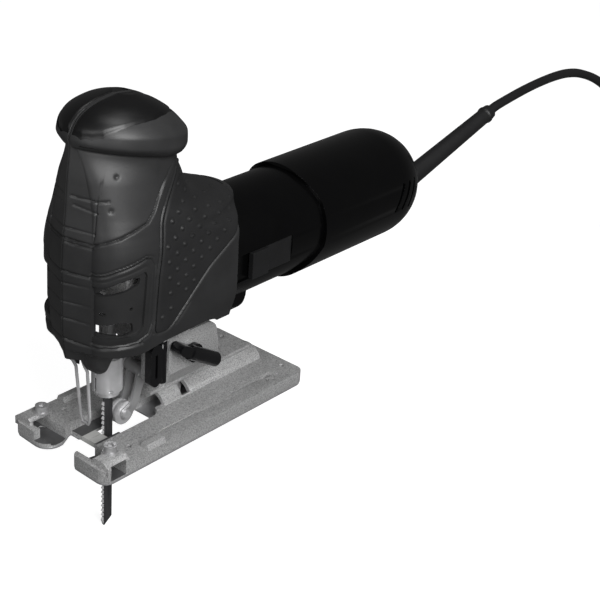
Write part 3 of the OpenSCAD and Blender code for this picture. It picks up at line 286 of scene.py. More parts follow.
# ------------------------------------------------------------------ cord
# millimetres, in the frame's x, y and z
CORD_D = 6.4
GUARD_ROOT = (0, 280 - BASE_FRONT, 75.6)
GUARD_LENGTH = 107
GUARD_RISE = math.radians(16.1)
COIL_X, COIL_Y, COIL_R = 31.0, 566.0, 40         # centre of the coil and radius of its middle ring
PACKING = 0.98                                   # distance of neighbouring turns, in cord diameters
SIDE_GAP = 0.15                                  # between the coil and the cord that comes down beside it
FIRST_ANGLE, LAST_TURNED = 195.0, 3015.0         # degrees: where the coil starts, and how far it turns
COIL_STEP = 12                                   # degrees between points of the coil
TAIL = np.array([67.0, 584.0, FLOOR_Z + 23.96])  # where the cord enters the plug
TAIL_BEND = 26.0                                 # radius of the last quarter turn
LEAVE_R = 46.6                                   # radius at which the cord leaves the coil, above it
LEAVE_RISE = 8.22                                # how far it rises above the top layer
JOIN_OVER = 40                                   # degrees in which it comes in from beside the coil
WIDEN_FROM, WIDEN_OVER = 2950, 65                # degrees of turn, from LEAVE_R's start
RISE_FROM, RISE_OVER = 2895, 80                  # degrees of turn, from LEAVE_RISE's start
# turned angle from and to, ring (0 outside, 2 inside) from and to
RING_MOVES = [(345, 415, 0, 1), (705, 775, 1, 2), (1385, 1455, 2, 1), (1745, 1815, 1, 0),
              (2425, 2495, 0, 1), (2785, 2855, 1, 2)]
# turned angle from and to, layer from and to
LAYER_MOVES = [(1060, 1100, 0, 1), (2120, 2160, 1, 2)]


def ease(v):
    """0 up to v = 0, 1 from v = 1, and a smooth rise between them."""
    v = min(1.0, max(0.0, v))
    return v * v * (3 - 2 * v)


def stepped(turned, moves):
    """Ring or layer at a turned angle."""
    value = 0.0
    for start, end, before, after in moves:
        if turned > start:
            value = before + (after - before) * ease((turned - start) / (end - start))
    return value


def cord_route():
    """The route of part.scad's cord, then the real winding in three rings and three layers."""
    direction = np.array([0, math.cos(GUARD_RISE), math.sin(GUARD_RISE)])
    guard = np.array(GUARD_ROOT) + GUARD_LENGTH * direction
    floor_z = FLOOR_Z + CORD_D / 2
    pts = [guard, guard + 8 * direction, (0, 330, 109.8), (0, 348, 111.6), (0, 366, 112.6), (0, 386, 112.7),
           (0, 404, 111.2), (1, 421, 107.6), (4, 440, 100), (7, 458, 88), (10, 474, 71), (11.5, 488, 50),
           (10.8, 500, 27), (7.5, 509, 3), (3, 516, -17), (-1.5, 522, -33), (-7, 528.2, -45.5),
           (-13.2, 535.2, floor_z + 3.6)]
    pts = [np.array(p, float) for p in pts]
    pitch = PACKING * CORD_D
    side = COIL_R + pitch + CORD_D + SIDE_GAP
    first = math.radians(FIRST_ANGLE + 10)
    pts.append(np.array([COIL_X + side * math.cos(first), COIL_Y + side * math.sin(first), floor_z]))
    steps = int(LAST_TURNED / COIL_STEP)
    for i in range(steps + 1):
        turned = LAST_TURNED * i / steps
        r = COIL_R + pitch - stepped(turned, RING_MOVES) * pitch
        if turned < JOIN_OVER:
            r += (CORD_D + SIDE_GAP) * (1 - ease(turned / JOIN_OVER))
        r += (LEAVE_R - r) * ease((turned - WIDEN_FROM) / WIDEN_OVER)
        ang = math.radians(FIRST_ANGLE - turned)
        z = FLOOR_Z + (stepped(turned, LAYER_MOVES) * PACKING + 0.5) * CORD_D
        z += LEAVE_RISE * ease((turned - RISE_FROM) / RISE_OVER)
        pts.append(np.array([COIL_X + r * math.cos(ang), COIL_Y + r * math.sin(ang), z]))
    # a last quarter turn into the tail of the plug, which lies on the coil
    for turn in range(50, -1, -10):
        a = math.radians(turn)
        pts.append(TAIL + np.array([TAIL_BEND * (math.cos(a) - 1), TAIL_BEND * math.sin(a), 0]))
    pts.append(TAIL + np.array([0, -6.0, 0]))
    return pts


def smooth_path(pts, step=4.0):
    """Catmull-Rom through the points, then points a fixed distance apart."""
    p = np.array(pts)
    p = np.vstack([2 * p[0] - p[1], p, 2 * p[-1] - p[-2]])
    out = []
    for i in range(1, len(p) - 2):
        for t in np.linspace(0, 1, 12, endpoint=False):
            a, b, c, d = p[i - 1], p[i], p[i + 1], p[i + 2]
            out.append(0.5 * ((2 * b) + (c - a) * t + (2 * a - 5 * b + 4 * c - d) * t * t
                              + (3 * b - a - 3 * c + d) * t ** 3))
    out.append(p[-2])
    out = np.array(out)
    s = np.concatenate([[0], np.cumsum(np.linalg.norm(np.diff(out, axis=0), axis=1))])
    q = np.arange(0, s[-1], step)
    q = np.append(q, s[-1])
    return np.stack([np.interp(q, s, out[:, k]) for k in range(3)], axis=1), s[-1]


def make_cord():
    path, length = smooth_path(cord_route())
    cu = bpy.data.curves.new("power_cord_run", "CURVE")
    cu.dimensions = "3D"
    cu.bevel_depth = CORD_D / 2000
    cu.bevel_resolution = 3
    sp = cu.splines.new("POLY")
    sp.points.add(len(path) - 1)
    for k, q in enumerate(path):
        sp.points[k].co = (q[0] / 1000, q[1] / 1000, q[2] / 1000, 1)
    sp.use_smooth = True
    o = bpy.data.objects.new("power_cord_run", cu)
    scene.collection.objects.link(o)
    cu.materials.append(MAT["cord"])
    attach(o, "housing")
    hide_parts("power_cord", "cord_coil")


make_cord()


# ------------------------------------------------------------------ materials of the CAD nodes
DRESS = {
    "head": ["head_shell_left", "head_shell_right"],
    "pad": ["knob_pad_left", "knob_pad_right"],
    "grip": ["grip_panel_left", "grip_panel_right"],
    "vent": ["vent_frame_left", "vent_frame_right"],
    "cast": ["gear_housing", "bearing_plate", "tilt_bracket"],
    "barrel": ["motor_housing"],
    "cover": ["rear_cover"],
    "guard": ["cord_guard"],
    "base": ["base_plate"],
    "sole": ["sole_plate"],
    "steel": ["plunger", "armature_shaft", "front_bearing", "rear_bearing", "spur_gear", "gear_spindle",
              "retainer_arm", "arm_pin", "tilt_bolt", "shell_screws", "fence_screws", "clamp_screws"],
    "lamination": ["armature_core", "field_core"],
    "copper": ["armature_windings", "field_windings", "commutator"],
    "bronze": ["plunger_bushes", "brush_holders"],
    "carbon": ["carbon_brushes"],
    "ivory": ["cooling_fan", "switch_link", "noise_capacitor", "cord_clamp"],
    "insert": ["splinter_insert"],
    "chrome": ["blade_clamp", "wire_guard", "roller_pin", "crank_bush", "roller", "plug_pins"],
    "blade": ["blade"],
    "lever": ["release_lever", "orbital_lever"],
    "switch": ["switch_slider", "switch_block"],
    "tie": ["cord_tie"],
    "cord": ["power_cord", "cord_coil", "plug"],
}


def dress(obj, mat):
    mats = obj.data.materials
    if len(mats) == 0:
        mats.append(mat)
    for i in range(len(mats)):
        mats[i] = mat


for key, names in DRESS.items():
    for n in names:
        dress(NODES[n], MAT[key])
MISSING = sorted(set(NODES) - {n for names in DRESS.values() for n in names})
assert not MISSING, MISSING


# ------------------------------------------------------------------ head: smooth loft through stations
# millimetres; d is measured back from the base's front edge, and x grows from the middle plane to each side
CHIN_Z, LIP_Z, WING_Z = 47.0, 66.2, 68.3
LIP_STATION = 4     # the outline has a corner in side view there
KNOB_Z = 174        # where the knob starts
PROW_WIDTH = 0.47   # half width of the flat nose, as a share of the half width
PROW_DEPTH = 6      # how far the nose falls back from its middle to its edges
# Each station has front d, front z, rear d, rear z, half width, prow (how far the nose is formed, 0 to 1),
# front run and rear run (from each end to the full width), and taper (exponent of the curve at the front).
HEAD = [
    (15.5, CHIN_Z, 118, CHIN_Z, 12, 1, 15, 20, 1),
    (9.6, 52, 118, 52, 14.5, 1, 17, 20, 1),
    (5.8, 59, 118, 59, 17, 1, 20, 20, 1),
    (4.6, 63.6, 118, 63.6, 20, 1, 24, 20, 1),
    (4.4, LIP_Z, 118, LIP_Z, 32, 1, 31, 20, 1),
    (3.4, 80, 118, 80, 33.8, 1, 33, 20, 1),
    (3.4, 110, 118, 110, 33.6, 1, 34, 24, 1),
    (3.8, 120, 118, 120, 33, 1, 34, 34, 1),
    (4.4, 127, 118, 127, 31.8, 1, 35, 55, 1),
    (4.9, 131.5, 108, 131.5, 30.8, 1, 36, 48, 1),
    (5.4, 136, 95, 136, 29.8, 1, 36, 40, 1.05),
    (5.9, 141, 84, 139.5, 28.6, 1, 36, 36, 1.1),
    (7.2, 158, 77.5, 150.5, 25.8, 0.8, 37, 35, 1.25),
    (8.8, 172.5, 74, 159.5, 24, 0.4, 37, 34, 1.5)]
KNOB = [
    (8.9, 174, 74, 161, 24.4, 0.3, 38, 34, 1.5),
    (8.8, 175.5, 75, 164, 28, 0.1, 40, 34, 1.2),
    (8.9, 178.5, 75.6, 169.5, 30.7, 0, 41, 34, 1),
    (10.2, 182.5, 75, 175, 30.8, 0, 40, 34, 1),
    (13.2, 187, 72, 179.5, 28.3, 0, 36, 31, 1),
    (18.7, 190.9, 67, 184.5, 23.4, 0, 30, 26, 1),
    (27, 193.7, 60, 189.3, 16.5, 0, 19, 16, 1),
    (38, 195.2, 50, 193.8, 7, 0, 6, 6, 1)]


def pchip(x, y, q):
    """Shape-keeping cubic through (x, y) columns, at q."""
    x, y, q = np.asarray(x, float), np.asarray(y, float), np.asarray(q, float)
    h = np.diff(x)
    s = np.diff(y, axis=0) / h[:, None]
    m = np.zeros_like(y)
    for k in range(1, len(x) - 1):
        a, b = s[k - 1], s[k]
        w1, w2 = 2 * h[k] + h[k - 1], h[k] + 2 * h[k - 1]
        ok = a * b > 0
        m[k] = np.where(ok, (w1 + w2) / (w1 / np.where(ok, a, 1) + w2 / np.where(ok, b, 1)), 0)
    m[0], m[-1] = s[0], s[-1]
    i = np.clip(np.searchsorted(x, q, side="right") - 1, 0, len(x) - 2)
    t = ((q - x[i]) / h[i])[:, None]
    hh = h[i][:, None]
    return ((1 + 2 * t) * (1 - t) ** 2 * y[i] + t * (1 - t) ** 2 * hh * m[i]
            + t * t * (3 - 2 * t) * y[i + 1] + t * t * (t - 1) * hh * m[i + 1])


def dense_stations(step):
    """Stations about every step millimetres up the front or the middle, with every given station kept."""
    table = np.array(HEAD + KNOB, float)
    mid = np.stack([(table[:, 0] + table[:, 2]) / 2, (table[:, 1] + table[:, 3]) / 2, table[:, 4]], 1)
    front = np.stack([table[:, 0], table[:, 1]], 1)
    run = np.maximum(np.linalg.norm(np.diff(front, axis=0), axis=1),
                     np.linalg.norm(np.diff(mid, axis=0), axis=1))
    s = np.concatenate([[0], np.cumsum(run)])
    q = []
    for k in range(len(s) - 1):
        n = max(1, int(round((s[k + 1] - s[k]) / step)))
        q += list(np.linspace(s[k], s[k + 1], n, endpoint=False))
    q = np.array(q + [s[-1]])
    lip = LIP_STATION
    low = q <= s[lip]
    out = np.zeros((len(q), table.shape[1]))
    out[low] = pchip(s[:lip + 1], table[:lip + 1], q[low])
    out[~low] = pchip(s[lip:], table[lip:], q[~low])
    return out


def half_ring(st, e, counts):
    """Half of each station's outline, e inside the surface, from front to rear: (n, m, 3) x, d, z.

    counts are the points along the nose, the curve to the side, the side and the curve at the rear."""
    d0, z0, d1, z1, w0, prow, front_run, rear_run, taper = [st[:, [k]] for k in range(9)]
    length = np.hypot(d1 - d0, z1 - z0)
    w = np.maximum(w0 - e, 0.5)
    cx = PROW_WIDTH * w * prow
    cy = PROW_DEPTH * prow + e
    na, nb, nc, nd = counts
    u = np.linspace(0, 1, na, endpoint=False)[None]
    xa, sa = cx * u, e + (cy - e) * u
    ang = np.linspace(0, math.pi / 2, nb, endpoint=False)[None]
    xb = cx + (w - cx) * np.sin(ang) ** taper
    sb = front_run - (front_run - cy) * np.cos(ang) ** taper
    u = np.linspace(0, 1, nc, endpoint=False)[None]
    end = np.maximum(length - rear_run, front_run + 0.01)
    xc, sc = w + 0 * u, front_run + (end - front_run) * u
    ang = np.linspace(0, math.pi / 2, nd)[None]
    xd, sd = w * np.cos(ang), end + (length - e - end) * np.sin(ang)
    x = np.concatenate([xa, xb, xc, xd], 1)
    s = np.concatenate([sa, sb, sc, sd], 1)
    d = d0 + s * (d1 - d0) / length
    z = z0 + s * (z1 - z0) / length
    drop = e * np.clip((z0 - KNOB_Z) / 8, 0, 1)
    return np.stack([x, d, z - drop], 2)


def grid_normals(P):
    """Outward unit normals of a grid of points."""
    du = np.gradient(P, axis=1)
    dv = np.gradient(P, axis=0)
    n = np.cross(du, dv)
    ln = np.linalg.norm(n, axis=2, keepdims=True)
    return n / np.maximum(ln, 1e-9)


def poly_distance(P, line):
    """Distance of each point to a 3-D line through points."""
    P = P.reshape(-1, 3)
    best = np.full(len(P), 1e9)
    a = np.asarray(line, float)
    for k in range(len(a) - 1):
        v = a[k + 1] - a[k]
        t = np.clip(((P - a[k]) @ v) / (v @ v), 0, 1)
        dist = np.linalg.norm(P - (a[k] + t[:, None] * v), axis=1)
        best = np.minimum(best, dist)
    return best


def side_distance(P, outline):
    """Signed distance in side view (d, z) to a closed outline: below zero inside."""
    q = P.reshape(-1, 3)[:, 1:]
    o = np.asarray(outline, float)
    best = np.full(len(q), 1e9)
    inside = np.zeros(len(q), bool)
    for k in range(len(o)):
        a, b = o[k], o[(k + 1) % len(o)]
        v = b - a
        t = np.clip(((q - a) @ v) / (v @ v), 0, 1)
        best = np.minimum(best, np.linalg.norm(q - (a + t[:, None] * v), axis=1))
        spans = (a[1] > q[:, 1]) != (b[1] > q[:, 1])
        rise = b[1] - a[1] if b[1] != a[1] else 1e-9
        crossing = a[0] + (q[:, 1] - a[1]) / rise * (b[0] - a[0])
        inside ^= spans & (q[:, 0] < crossing)
    return np.where(inside, -best, best)


def groove(dist, width, depth):
    """Height of a soft-edged groove at a distance from its middle."""
    return -depth * np.exp(-(dist / width) ** 2)


def round_outline(pts, r, n=5):
    """Closed outline with its corners rounded."""
    p = np.asarray(pts, float)
    out = []
    for k in range(len(p)):
        a, b, c = p[k - 1], p[k], p[(k + 1) % len(p)]
        u, v = a - b, c - b
        lu, lv = np.linalg.norm(u), np.linalg.norm(v)
        back = min(r, 0.45 * lu, 0.45 * lv)
        s, e = b + u / lu * back, b + v / lv * back
        for t in np.linspace(0, 1, n):
            out.append((1 - t) ** 2 * s + 2 * t * (1 - t) * b + t * t * e)
    return np.array(out)


# outlines in side view, (d, z); the head's own with the arch over its foot and the one round the barrel
PROFILE = ([(-20, 30), (17, 30), (21, 44), (23.3, LIP_Z - 0.7), (45, WING_Z), (76, WING_Z + 0.7)]
           + [(79 + 8 * math.cos(a), WING_Z - 8 + 8 * math.sin(a))
              for a in np.radians(np.linspace(80, 0, 9))]
           + [(88.5, 44), (94, 44), (93, 62), (97, 80)]
           + [(118.5 + 21.5 * math.cos(a), 107 + 20 * math.sin(a))
              for a in np.radians(np.linspace(180, 90, 15))]
           + [(118.5, 400), (-20, 400)])
PANEL = round_outline([(67, 157.5), (58, 151.5), (50.3, 144), (44.6, 135.3), (39.3, 107), (37.2, 78),
                       (38.5, 75.2), (46.5, 74.6), (61.2, 88.6), (75.5, 101.7), (96, 114.5), (112, 128),
                       (109, 137), (84, 144), (78, 151), (76, 159)], 3)
VENT = [(-4, 104), (7, 109.5), (16, 114.5), (31, 119.5), (34, 118.6), (36, 115), (34.5, 84), (31.7, 77.7),
        (26, 74.8), (16, 74), (7, 73), (-4, 73)]
RECESS = [(-4, 100), (7, 104.5), (12.5, 107), (17, 109.5), (30, 113.2), (31.2, 111), (29, 82), (26, 78.8),
          (16, 78), (7, 76.5), (-4, 76)]
SLOT_HI = [(10.5, 99.8), (12.7, 104.8), (17.5, 108.2), (24.3, 110), (28.2, 109.8), (27.5, 106.2),
           (21.2, 103.4), (15.5, 101.6)]
SLOT_LO = [(10, 79.2), (10.2, 83.6), (13.6, 84.8), (18.2, 86.2), (24, 85.4), (24.5, 80.2), (20.8, 78.4),
           (13.1, 79.4)]
PIN_HOLES = [(12.6, 90.5), (23.4, 93.3)]
CREASE_X = 15.6  # the vent frames start at this x, at the crease beside the nose
# knob pad in plan, (x, d)
PAD = [(1.2, 9.6), (6.9, 10.4), (12.1, 12.9), (16.2, 16.2), (19.1, 21), (21, 25.8), (22.4, 31.2), (23.4, 37),
       (23.7, 43), (22, 51.4), (17.6, 60), (11, 66.5), (1.2, 70.5)]
SCREWS = [(22, 166), (14, 96), (52, 176), (61, 161)]  # (d, z)
BARREL_R, MOTOR_Z = 31.0, 90.7

# the line that runs across the nose and up round the head's sides, (x, d, z)
V_LINE = [(0, 5.0, 128.3), (6.7, 6.9, 127.6), (15.4, 10.0, 127.2), (21.5, 13.6, 129.7),
          (25.6, 19.2, 131.6), (27.9, 26.7, 134.3), (29, 34.3, 136.9), (28.2, 39.7, 141.7),
          (27.3, 42.6, 146.3), (26.4, 45.9, 150.4), (24.9, 49.5, 154.3), (23, 54.1, 157.8),
          (21.1, 58, 159.9), (17, 63, 163.5)]
# side view of everything above that line, where the head is paler
UPPER = ([(-20, 128.3)] + [(d, z) for _, d, z in V_LINE]
         + [(74, 168), (110, 180), (110, 400), (-20, 400)])
# lines drawn on the shells: width, depth, points as (x, d, z)
HEAD_LINES = [
    (0.65, 1.21, V_LINE),
    (0.52, 0.69, [(x, d, z - 1.7) for x, d, z in V_LINE[:3]]),
    (0.52, 0.69, [(2.9, 7.8, 150.4), (9.2, 10.5, 149.7), (15.2, 13.6, 149.2), (18.9, 17.7, 149.6)]),
    (0.52, 0.44, [(4.2, 8, 146), (16, 13, 143.3)]),
    (0.52, 0.69, [(0.5, 5.3, 133.9), (8.7, 8.3, 133.3), (15.8, 11, 132.9)]),
    (0.65, 1.03, [(0, 3.4, 110.6), (7.6, 6, 110), (15.1, 8.6, 109.7)]),
    (0.52, 0.44, [(0, 3.4, 104), (15.1, 8.6, 104.3)]),
    (0.52, 0.38, [(0, 3.5, 93.8), (15.2, 8.6, 93.6)]),
    (0.52, 0.48, [(0, 3.6, 84.5), (15.2, 8.6, 83.8)]),
    (0.65, 0.95, [(0, 4.3, 72.6), (6.9, 6.4, 71.2), (15.2, 9.3, 70.4), (22.5, 12.4, 71.4), (27.9, 17.8, 72),
                  (30.6, 23.3, 72.4), (32.4, 29.2, 72.8)]),
    (0.45, 0.52, [(13.5, 21, 167), (15.1, 16.1, 157.7), (15.1, 13.7, 149.8), (15.8, 11.0, 132.5),
                  (15.4, 9.8, 127.2)]),
]


# ------------------------------------------------------------------ solids in millimetres, cut by booleans
def solid(verts, faces):
    """Work mesh with its faces turned outwards."""
    me = bpy.data.meshes.new("work")
    me.from_pydata([tuple(map(float, v)) for v in verts], [], [tuple(int(i) for i in f) for f in faces])
    me.update()
    bm = bmesh.new()
    bm.from_mesh(me)
    bmesh.ops.recalc_face_normals(bm, faces=bm.faces)
    bm.to_mesh(me)
    bm.free()
    return me


def cut(a, b, op):
    """Boolean of two work meshes; both are used up."""
    oa = bpy.data.objects.new("work_a", a)
    ob = bpy.data.objects.new("work_b", b)
    scene.collection.objects.link(oa)
    scene.collection.objects.link(ob)
    mod = oa.modifiers.new("cut", "BOOLEAN")
    mod.operation = op
    mod.solver = "MANIFOLD"
    mod.object = ob
    dg = bpy.context.evaluated_depsgraph_get()
    me = bpy.data.meshes.new_from_object(oa.evaluated_get(dg))
    bpy.data.objects.remove(oa)
    bpy.data.objects.remove(ob)
    bpy.data.meshes.remove(a)
    bpy.data.meshes.remove(b)
    if len(me.polygons) == 0:
        raise RuntimeError("a boolean left nothing")
    return me


def prism(outline, axis, lo, hi):
    """Prism from lo to hi along axis 'x' (outline is d, z), 'z' (x, d) or 'y' (x, z)."""
    o = np.asarray(outline, float)
    n = len(o)

    def put(v):
        if axis == "x":
            return np.column_stack([np.full(n, v), o[:, 0], o[:, 1]])
        if axis == "z":
            return np.column_stack([o[:, 0], o[:, 1], np.full(n, v)])
        return np.column_stack([o[:, 0], np.full(n, v), o[:, 1]])

    verts = np.vstack([put(lo), put(hi)])
    faces = [tuple(range(n - 1, -1, -1)), tuple(range(n, 2 * n))]
    faces += [(k, (k + 1) % n, n + (k + 1) % n, n + k) for k in range(n)]
    return solid(verts, faces)


def circle(a, b, r, n=48):
    return [(a + r * math.cos(2 * math.pi * k / n), b + r * math.sin(2 * math.pi * k / n)) for k in range(n)]


def block(x0, x1, d0, d1, z0, z1):
    return prism([(x0, d0), (x1, d0), (x1, d1), (x0, d1)], "z", z0, z1)


def grow(outline, e):
    """Outline moved outwards by e."""
    p = np.asarray(outline, float)
    area = 0.5 * np.sum(p[:, 0] * np.roll(p[:, 1], -1) - np.roll(p[:, 0], -1) * p[:, 1])
    t = np.roll(p, -1, 0) - np.roll(p, 1, 0)
    t /= np.maximum(np.linalg.norm(t, axis=1, keepdims=True), 1e-9)
    nrm = np.column_stack([t[:, 1], -t[:, 0]]) * (1 if area > 0 else -1)
    return p + nrm * e


def loft_solid(P, mid=0.05):
    """Closed solid of a half loft: grid, flat face at x = mid, and caps."""
    n, m, _ = P.shape
    Q = P.copy()
    Q[:, 0, 0] = mid
    Q[:, -1, 0] = mid
    Q[:, 1:-1, 0] = np.maximum(Q[:, 1:-1, 0], mid + 0.01)
    verts = Q.reshape(-1, 3)
    idx = np.arange(n * m).reshape(n, m)
    a, b, c, d = idx[:-1, :-1], idx[:-1, 1:], idx[1:, 1:], idx[1:, :-1]
    quads = np.stack([a, b, c, d], -1).reshape(-1, 4)
    strip = np.stack([idx[:-1, -1], idx[:-1, 0], idx[1:, 0], idx[1:, -1]], -1)
    faces = [tuple(f) for f in np.vstack([quads, strip])]
    faces.append(tuple(idx[0, ::-1]))
    faces.append(tuple(idx[-1, :]))
    return solid(verts, faces)


WALL = 3.0          # of the shells and vent frames
SKIN = 1.75         # of the wall that stays under an inlay
FIT = 0.15          # clearance round an inlay
BARREL_FIT = 0.3    # clearance round the barrel
INLAY = 1.6         # thickness of an inlay
REACH = 80          # past the widest part of the head
PAST_MIDDLE = -5    # cuts of one half start here, past the middle plane
PAD_Z = (176, 230)  # from under the knob pad's edge to above the knob
PILLAR_R, PILOT_R, CLEAR_R, SEAT_R = 4, 1.5, 1.7, 3.2  # round a shell screw, and its holes
PILOT_X, SEAT_X = 13, -11.9                            # end of the pilot hole and floor of the head's seat
# x, d and z ranges of the solid sides of the chin and of the openings for the foot and the plunger
CHIN_SIDE = (15.57, 90, -20, 44.6, 40, WING_Z + 1.93)
FOOT_OPENING = (PAST_MIDDLE, 20.3, 60, 100.5, 0, 60)
PLUNGER_OPENING = (PAST_MIDDLE, 6.6, -20, 23.7, 30, 59.43)
FINE = dense_stations(0.55)
COARSE = dense_stations(3.0)
# points along the nose, the curve to the side, the side and the curve at the rear
FINE_COUNTS = (32, 84, 84, 78)
COARSE_COUNTS = (6, 20, 10, 20)


def inner(e, mid=-1.0):
    """Solid of the half head, e inside its surface, with its flat face at x = mid."""
    return loft_solid(half_ring(COARSE, e, COARSE_COUNTS), mid)


def moved(P, N, amount):
    return P + N * amount.reshape(P.shape[0], P.shape[1], 1)


BASE_P = half_ring(FINE, 0.0, FINE_COUNTS)
BASE_N = grid_normals(BASE_P)
FLAT = BASE_P.reshape(-1, 3)
TO_PANEL = side_distance(BASE_P, PANEL)
TO_VENT = side_distance(BASE_P, VENT)


def shell_relief():
    """Height of the shell's drawn lines over its smooth surface."""
    amount = np.zeros(len(FLAT))
    for width, depth, line in HEAD_LINES:
        amount += groove(poly_distance(BASE_P, line), width, depth)
    # the seam round the rubber, and a finer line in front of it
    side = FLAT[:, 0] > 8
    amount += np.where(side, groove(np.abs(TO_PANEL), 0.75, 1.0), 0)
    upper = side & (FLAT[:, 1] < 62) & (FLAT[:, 2] > 76)
    amount += np.where(upper, groove(np.abs(TO_PANEL - 2.3), 0.55, 0.6), 0)
    # the seam round the vent frame, and a finer line outside it
    beside = FLAT[:, 0] > CREASE_X - 0.8
    amount += np.where(beside, groove(np.abs(TO_VENT), 0.75, 0.95), 0)
    amount += np.where(beside & (TO_VENT > 0), groove(np.abs(TO_VENT - 1.7), 0.5, 0.5), 0)
    # two dimples on the side of the head
    for centre in [(18.4, 23.3, 160.7), (20.3, 17.9, 144.9)]:
        amount += groove(np.linalg.norm(FLAT - centre, axis=1), 1.1, 0.7)
    # fine vertical seam at the centre of the front
    amount += np.where(FLAT[:, 1] < 20, groove(FLAT[:, 0], 0.45, 0.6), 0)
    return amount


def inlay_seat(outline, axis, lo, hi):
    """Tool that sinks a seat for an inlay into the shell, down to its skin."""
    return cut(prism(grow(outline, FIT), axis, lo, hi), inner(SKIN, -6), "DIFFERENCE")


def make_shells():
    body = loft_solid(moved(BASE_P, BASE_N, shell_relief()))
    body = cut(body, prism(PROFILE, "x", PAST_MIDDLE, REACH), "INTERSECT")
    hollow = inner(WALL)
    # the sides of the chin and the screws' pillars stay solid
    hollow = cut(hollow, block(*CHIN_SIDE), "DIFFERENCE")
    for d, z in SCREWS:
        hollow = cut(hollow, prism(circle(d, z, PILLAR_R, 24), "x", PAST_MIDDLE, REACH), "DIFFERENCE")
    body = cut(body, hollow, "DIFFERENCE")
    body = cut(body, inlay_seat(PANEL, "x", PAST_MIDDLE, REACH), "DIFFERENCE")
    body = cut(body, inlay_seat(PAD, "z", *PAD_Z), "DIFFERENCE")
    body = cut(body, prism(grow(VENT, FIT), "x", CREASE_X, REACH), "DIFFERENCE")
    body = cut(body, prism(circle(0, MOTOR_Z, BARREL_R + BARREL_FIT, 96), "y", 90, 130), "DIFFERENCE")
    body = cut(body, block(*FOOT_OPENING), "DIFFERENCE")
    body = cut(body, block(*PLUNGER_OPENING), "DIFFERENCE")
    left, right = body, body.copy()
    flip_x(right)
    # pilot holes on the left; on the right, clearance holes with a seat for each screw's head
    for d, z in SCREWS:
        left = cut(left, prism(circle(d, z, PILOT_R, 16), "x", PAST_MIDDLE, PILOT_X), "DIFFERENCE")
        right = cut(right, prism(circle(d, z, CLEAR_R, 16), "x", -PILOT_X, -PAST_MIDDLE), "DIFFERENCE")
        right = cut(right, prism(circle(d, z, SEAT_R, 24), "x", -REACH, SEAT_X), "DIFFERENCE")
    two_tone(place_solid("head_shell_l", left, "head", "housing", "head_shell_left"))
    two_tone(place_solid("head_shell_r", right, "head", "housing", "head_shell_right"))


def two_tone(shell):
    """Gives the shell its darker finish everywhere but above the V line."""
    me = shell.data
    me.materials.append(MAT["head_low"])
    centre = np.empty(3 * len(me.polygons))
    me.polygons.foreach_get("center", centre)
    centre = centre.reshape(-1, 3) * 1000 + (0, BASE_FRONT, 0)
    low = side_distance(centre, UPPER) > 0
    me.polygons.foreach_set("material_index", low.astype(np.int32))
    me.update()


def flip_x(me):
    """Mirrors a mesh in the plane x = 0."""
    co = np.zeros(len(me.vertices) * 3, np.float32)
    me.vertices.foreach_get("co", co)
    co[0::3] *= -1
    me.vertices.foreach_set("co", co)
    me.flip_normals()
    me.update()


def place_solid(name, me, mat, body, replaced):
    """Turns a work mesh in (x, d, z) millimetres into a piece in the frame, in place of a CAD node."""
    me.transform(Matrix.Translation((0, -BASE_FRONT / 1000, 0)) @ Matrix.Scale(0.001, 4))
    me.name = name
    me.materials.clear()
    me.materials.append(MAT[mat])
    me.polygons.foreach_set("use_smooth", [True] * len(me.polygons))
    me.set_sharp_from_angle(angle=math.radians(32))
    me.update()
    o = bpy.data.objects.new(name, me)
    scene.collection.objects.link(o)
    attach(o, body)
    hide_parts(replaced)
    return o


def both_sides(name, me, mat, left_node, right_node):
    """Places a half's work mesh and its mirror image."""
    other = me.copy()
    flip_x(other)
    place_solid(name + "_l", me, mat, "housing", left_node)
    place_solid(name + "_r", other, mat, "housing", right_node)


DOT_R, DOT_HEIGHT = 1.25, 0.75
# the dots' slanted grid in side view, (d, z): its origin and the steps along its rows and columns
DOT_ORIGIN = np.array([42.0, 84.0])
DOT_ROW = np.array([5.6, 3.3])
DOT_COLUMN = np.array([-0.6, 8.6])
DOT_MARGIN = 3.2  # from a dot's centre to the rubber's edge


def panel_dots():
    """Dots' centres on the surface, where the grid falls on the rubber."""
    out = []
    pool = FLAT[-TO_PANEL > DOT_MARGIN]
    for i in range(-4, 16):
        for j in range(-4, 12):
            near = np.linalg.norm(pool[:, 1:] - (DOT_ORIGIN + i * DOT_ROW + j * DOT_COLUMN), axis=1)
            k = int(np.argmin(near))
            if near[k] < 0.4:
                out.append(tuple(pool[k]))
    return out


def make_grip_panels():
    amount = groove(np.clip(-TO_PANEL, 0, None), 0.7, 0.45)
    # each dot is a small dome in a faint ring
    for centre in panel_dots():
        r = np.linalg.norm(FLAT - centre, axis=1)
        dome = DOT_HEIGHT * np.clip(1 - (r / DOT_R) ** 2, 0, None) ** 0.8
        amount += dome + groove(r - DOT_R - 0.5, 0.4, 0.12)
    me = loft_solid(moved(BASE_P, BASE_N, amount))
    me = cut(me, prism(PROFILE, "x", PAST_MIDDLE, REACH), "INTERSECT")
    me = cut(me, prism(PANEL, "x", PAST_MIDDLE, REACH), "INTERSECT")
    me = cut(me, inner(INLAY), "DIFFERENCE")
    both_sides("grip_rubber", me, "grip", "grip_panel_left", "grip_panel_right")


def make_knob_pads():
    to_pad = side_distance(BASE_P[:, :, [2, 0, 1]], PAD)
    # crowned by 0.35 mm, and sunk at the edge
    amount = 0.35 + groove(np.clip(-to_pad, 0, None), 0.9, 0.75)
    me = loft_solid(moved(BASE_P, BASE_N, np.where(FLAT[:, 2] > 170, amount, 0)))
    me = cut(me, prism(PAD, "z", *PAD_Z), "INTERSECT")
    me = cut(me, inner(INLAY), "DIFFERENCE")
    both_sides("knob_inlay", me, "pad", "knob_pad_left", "knob_pad_right")


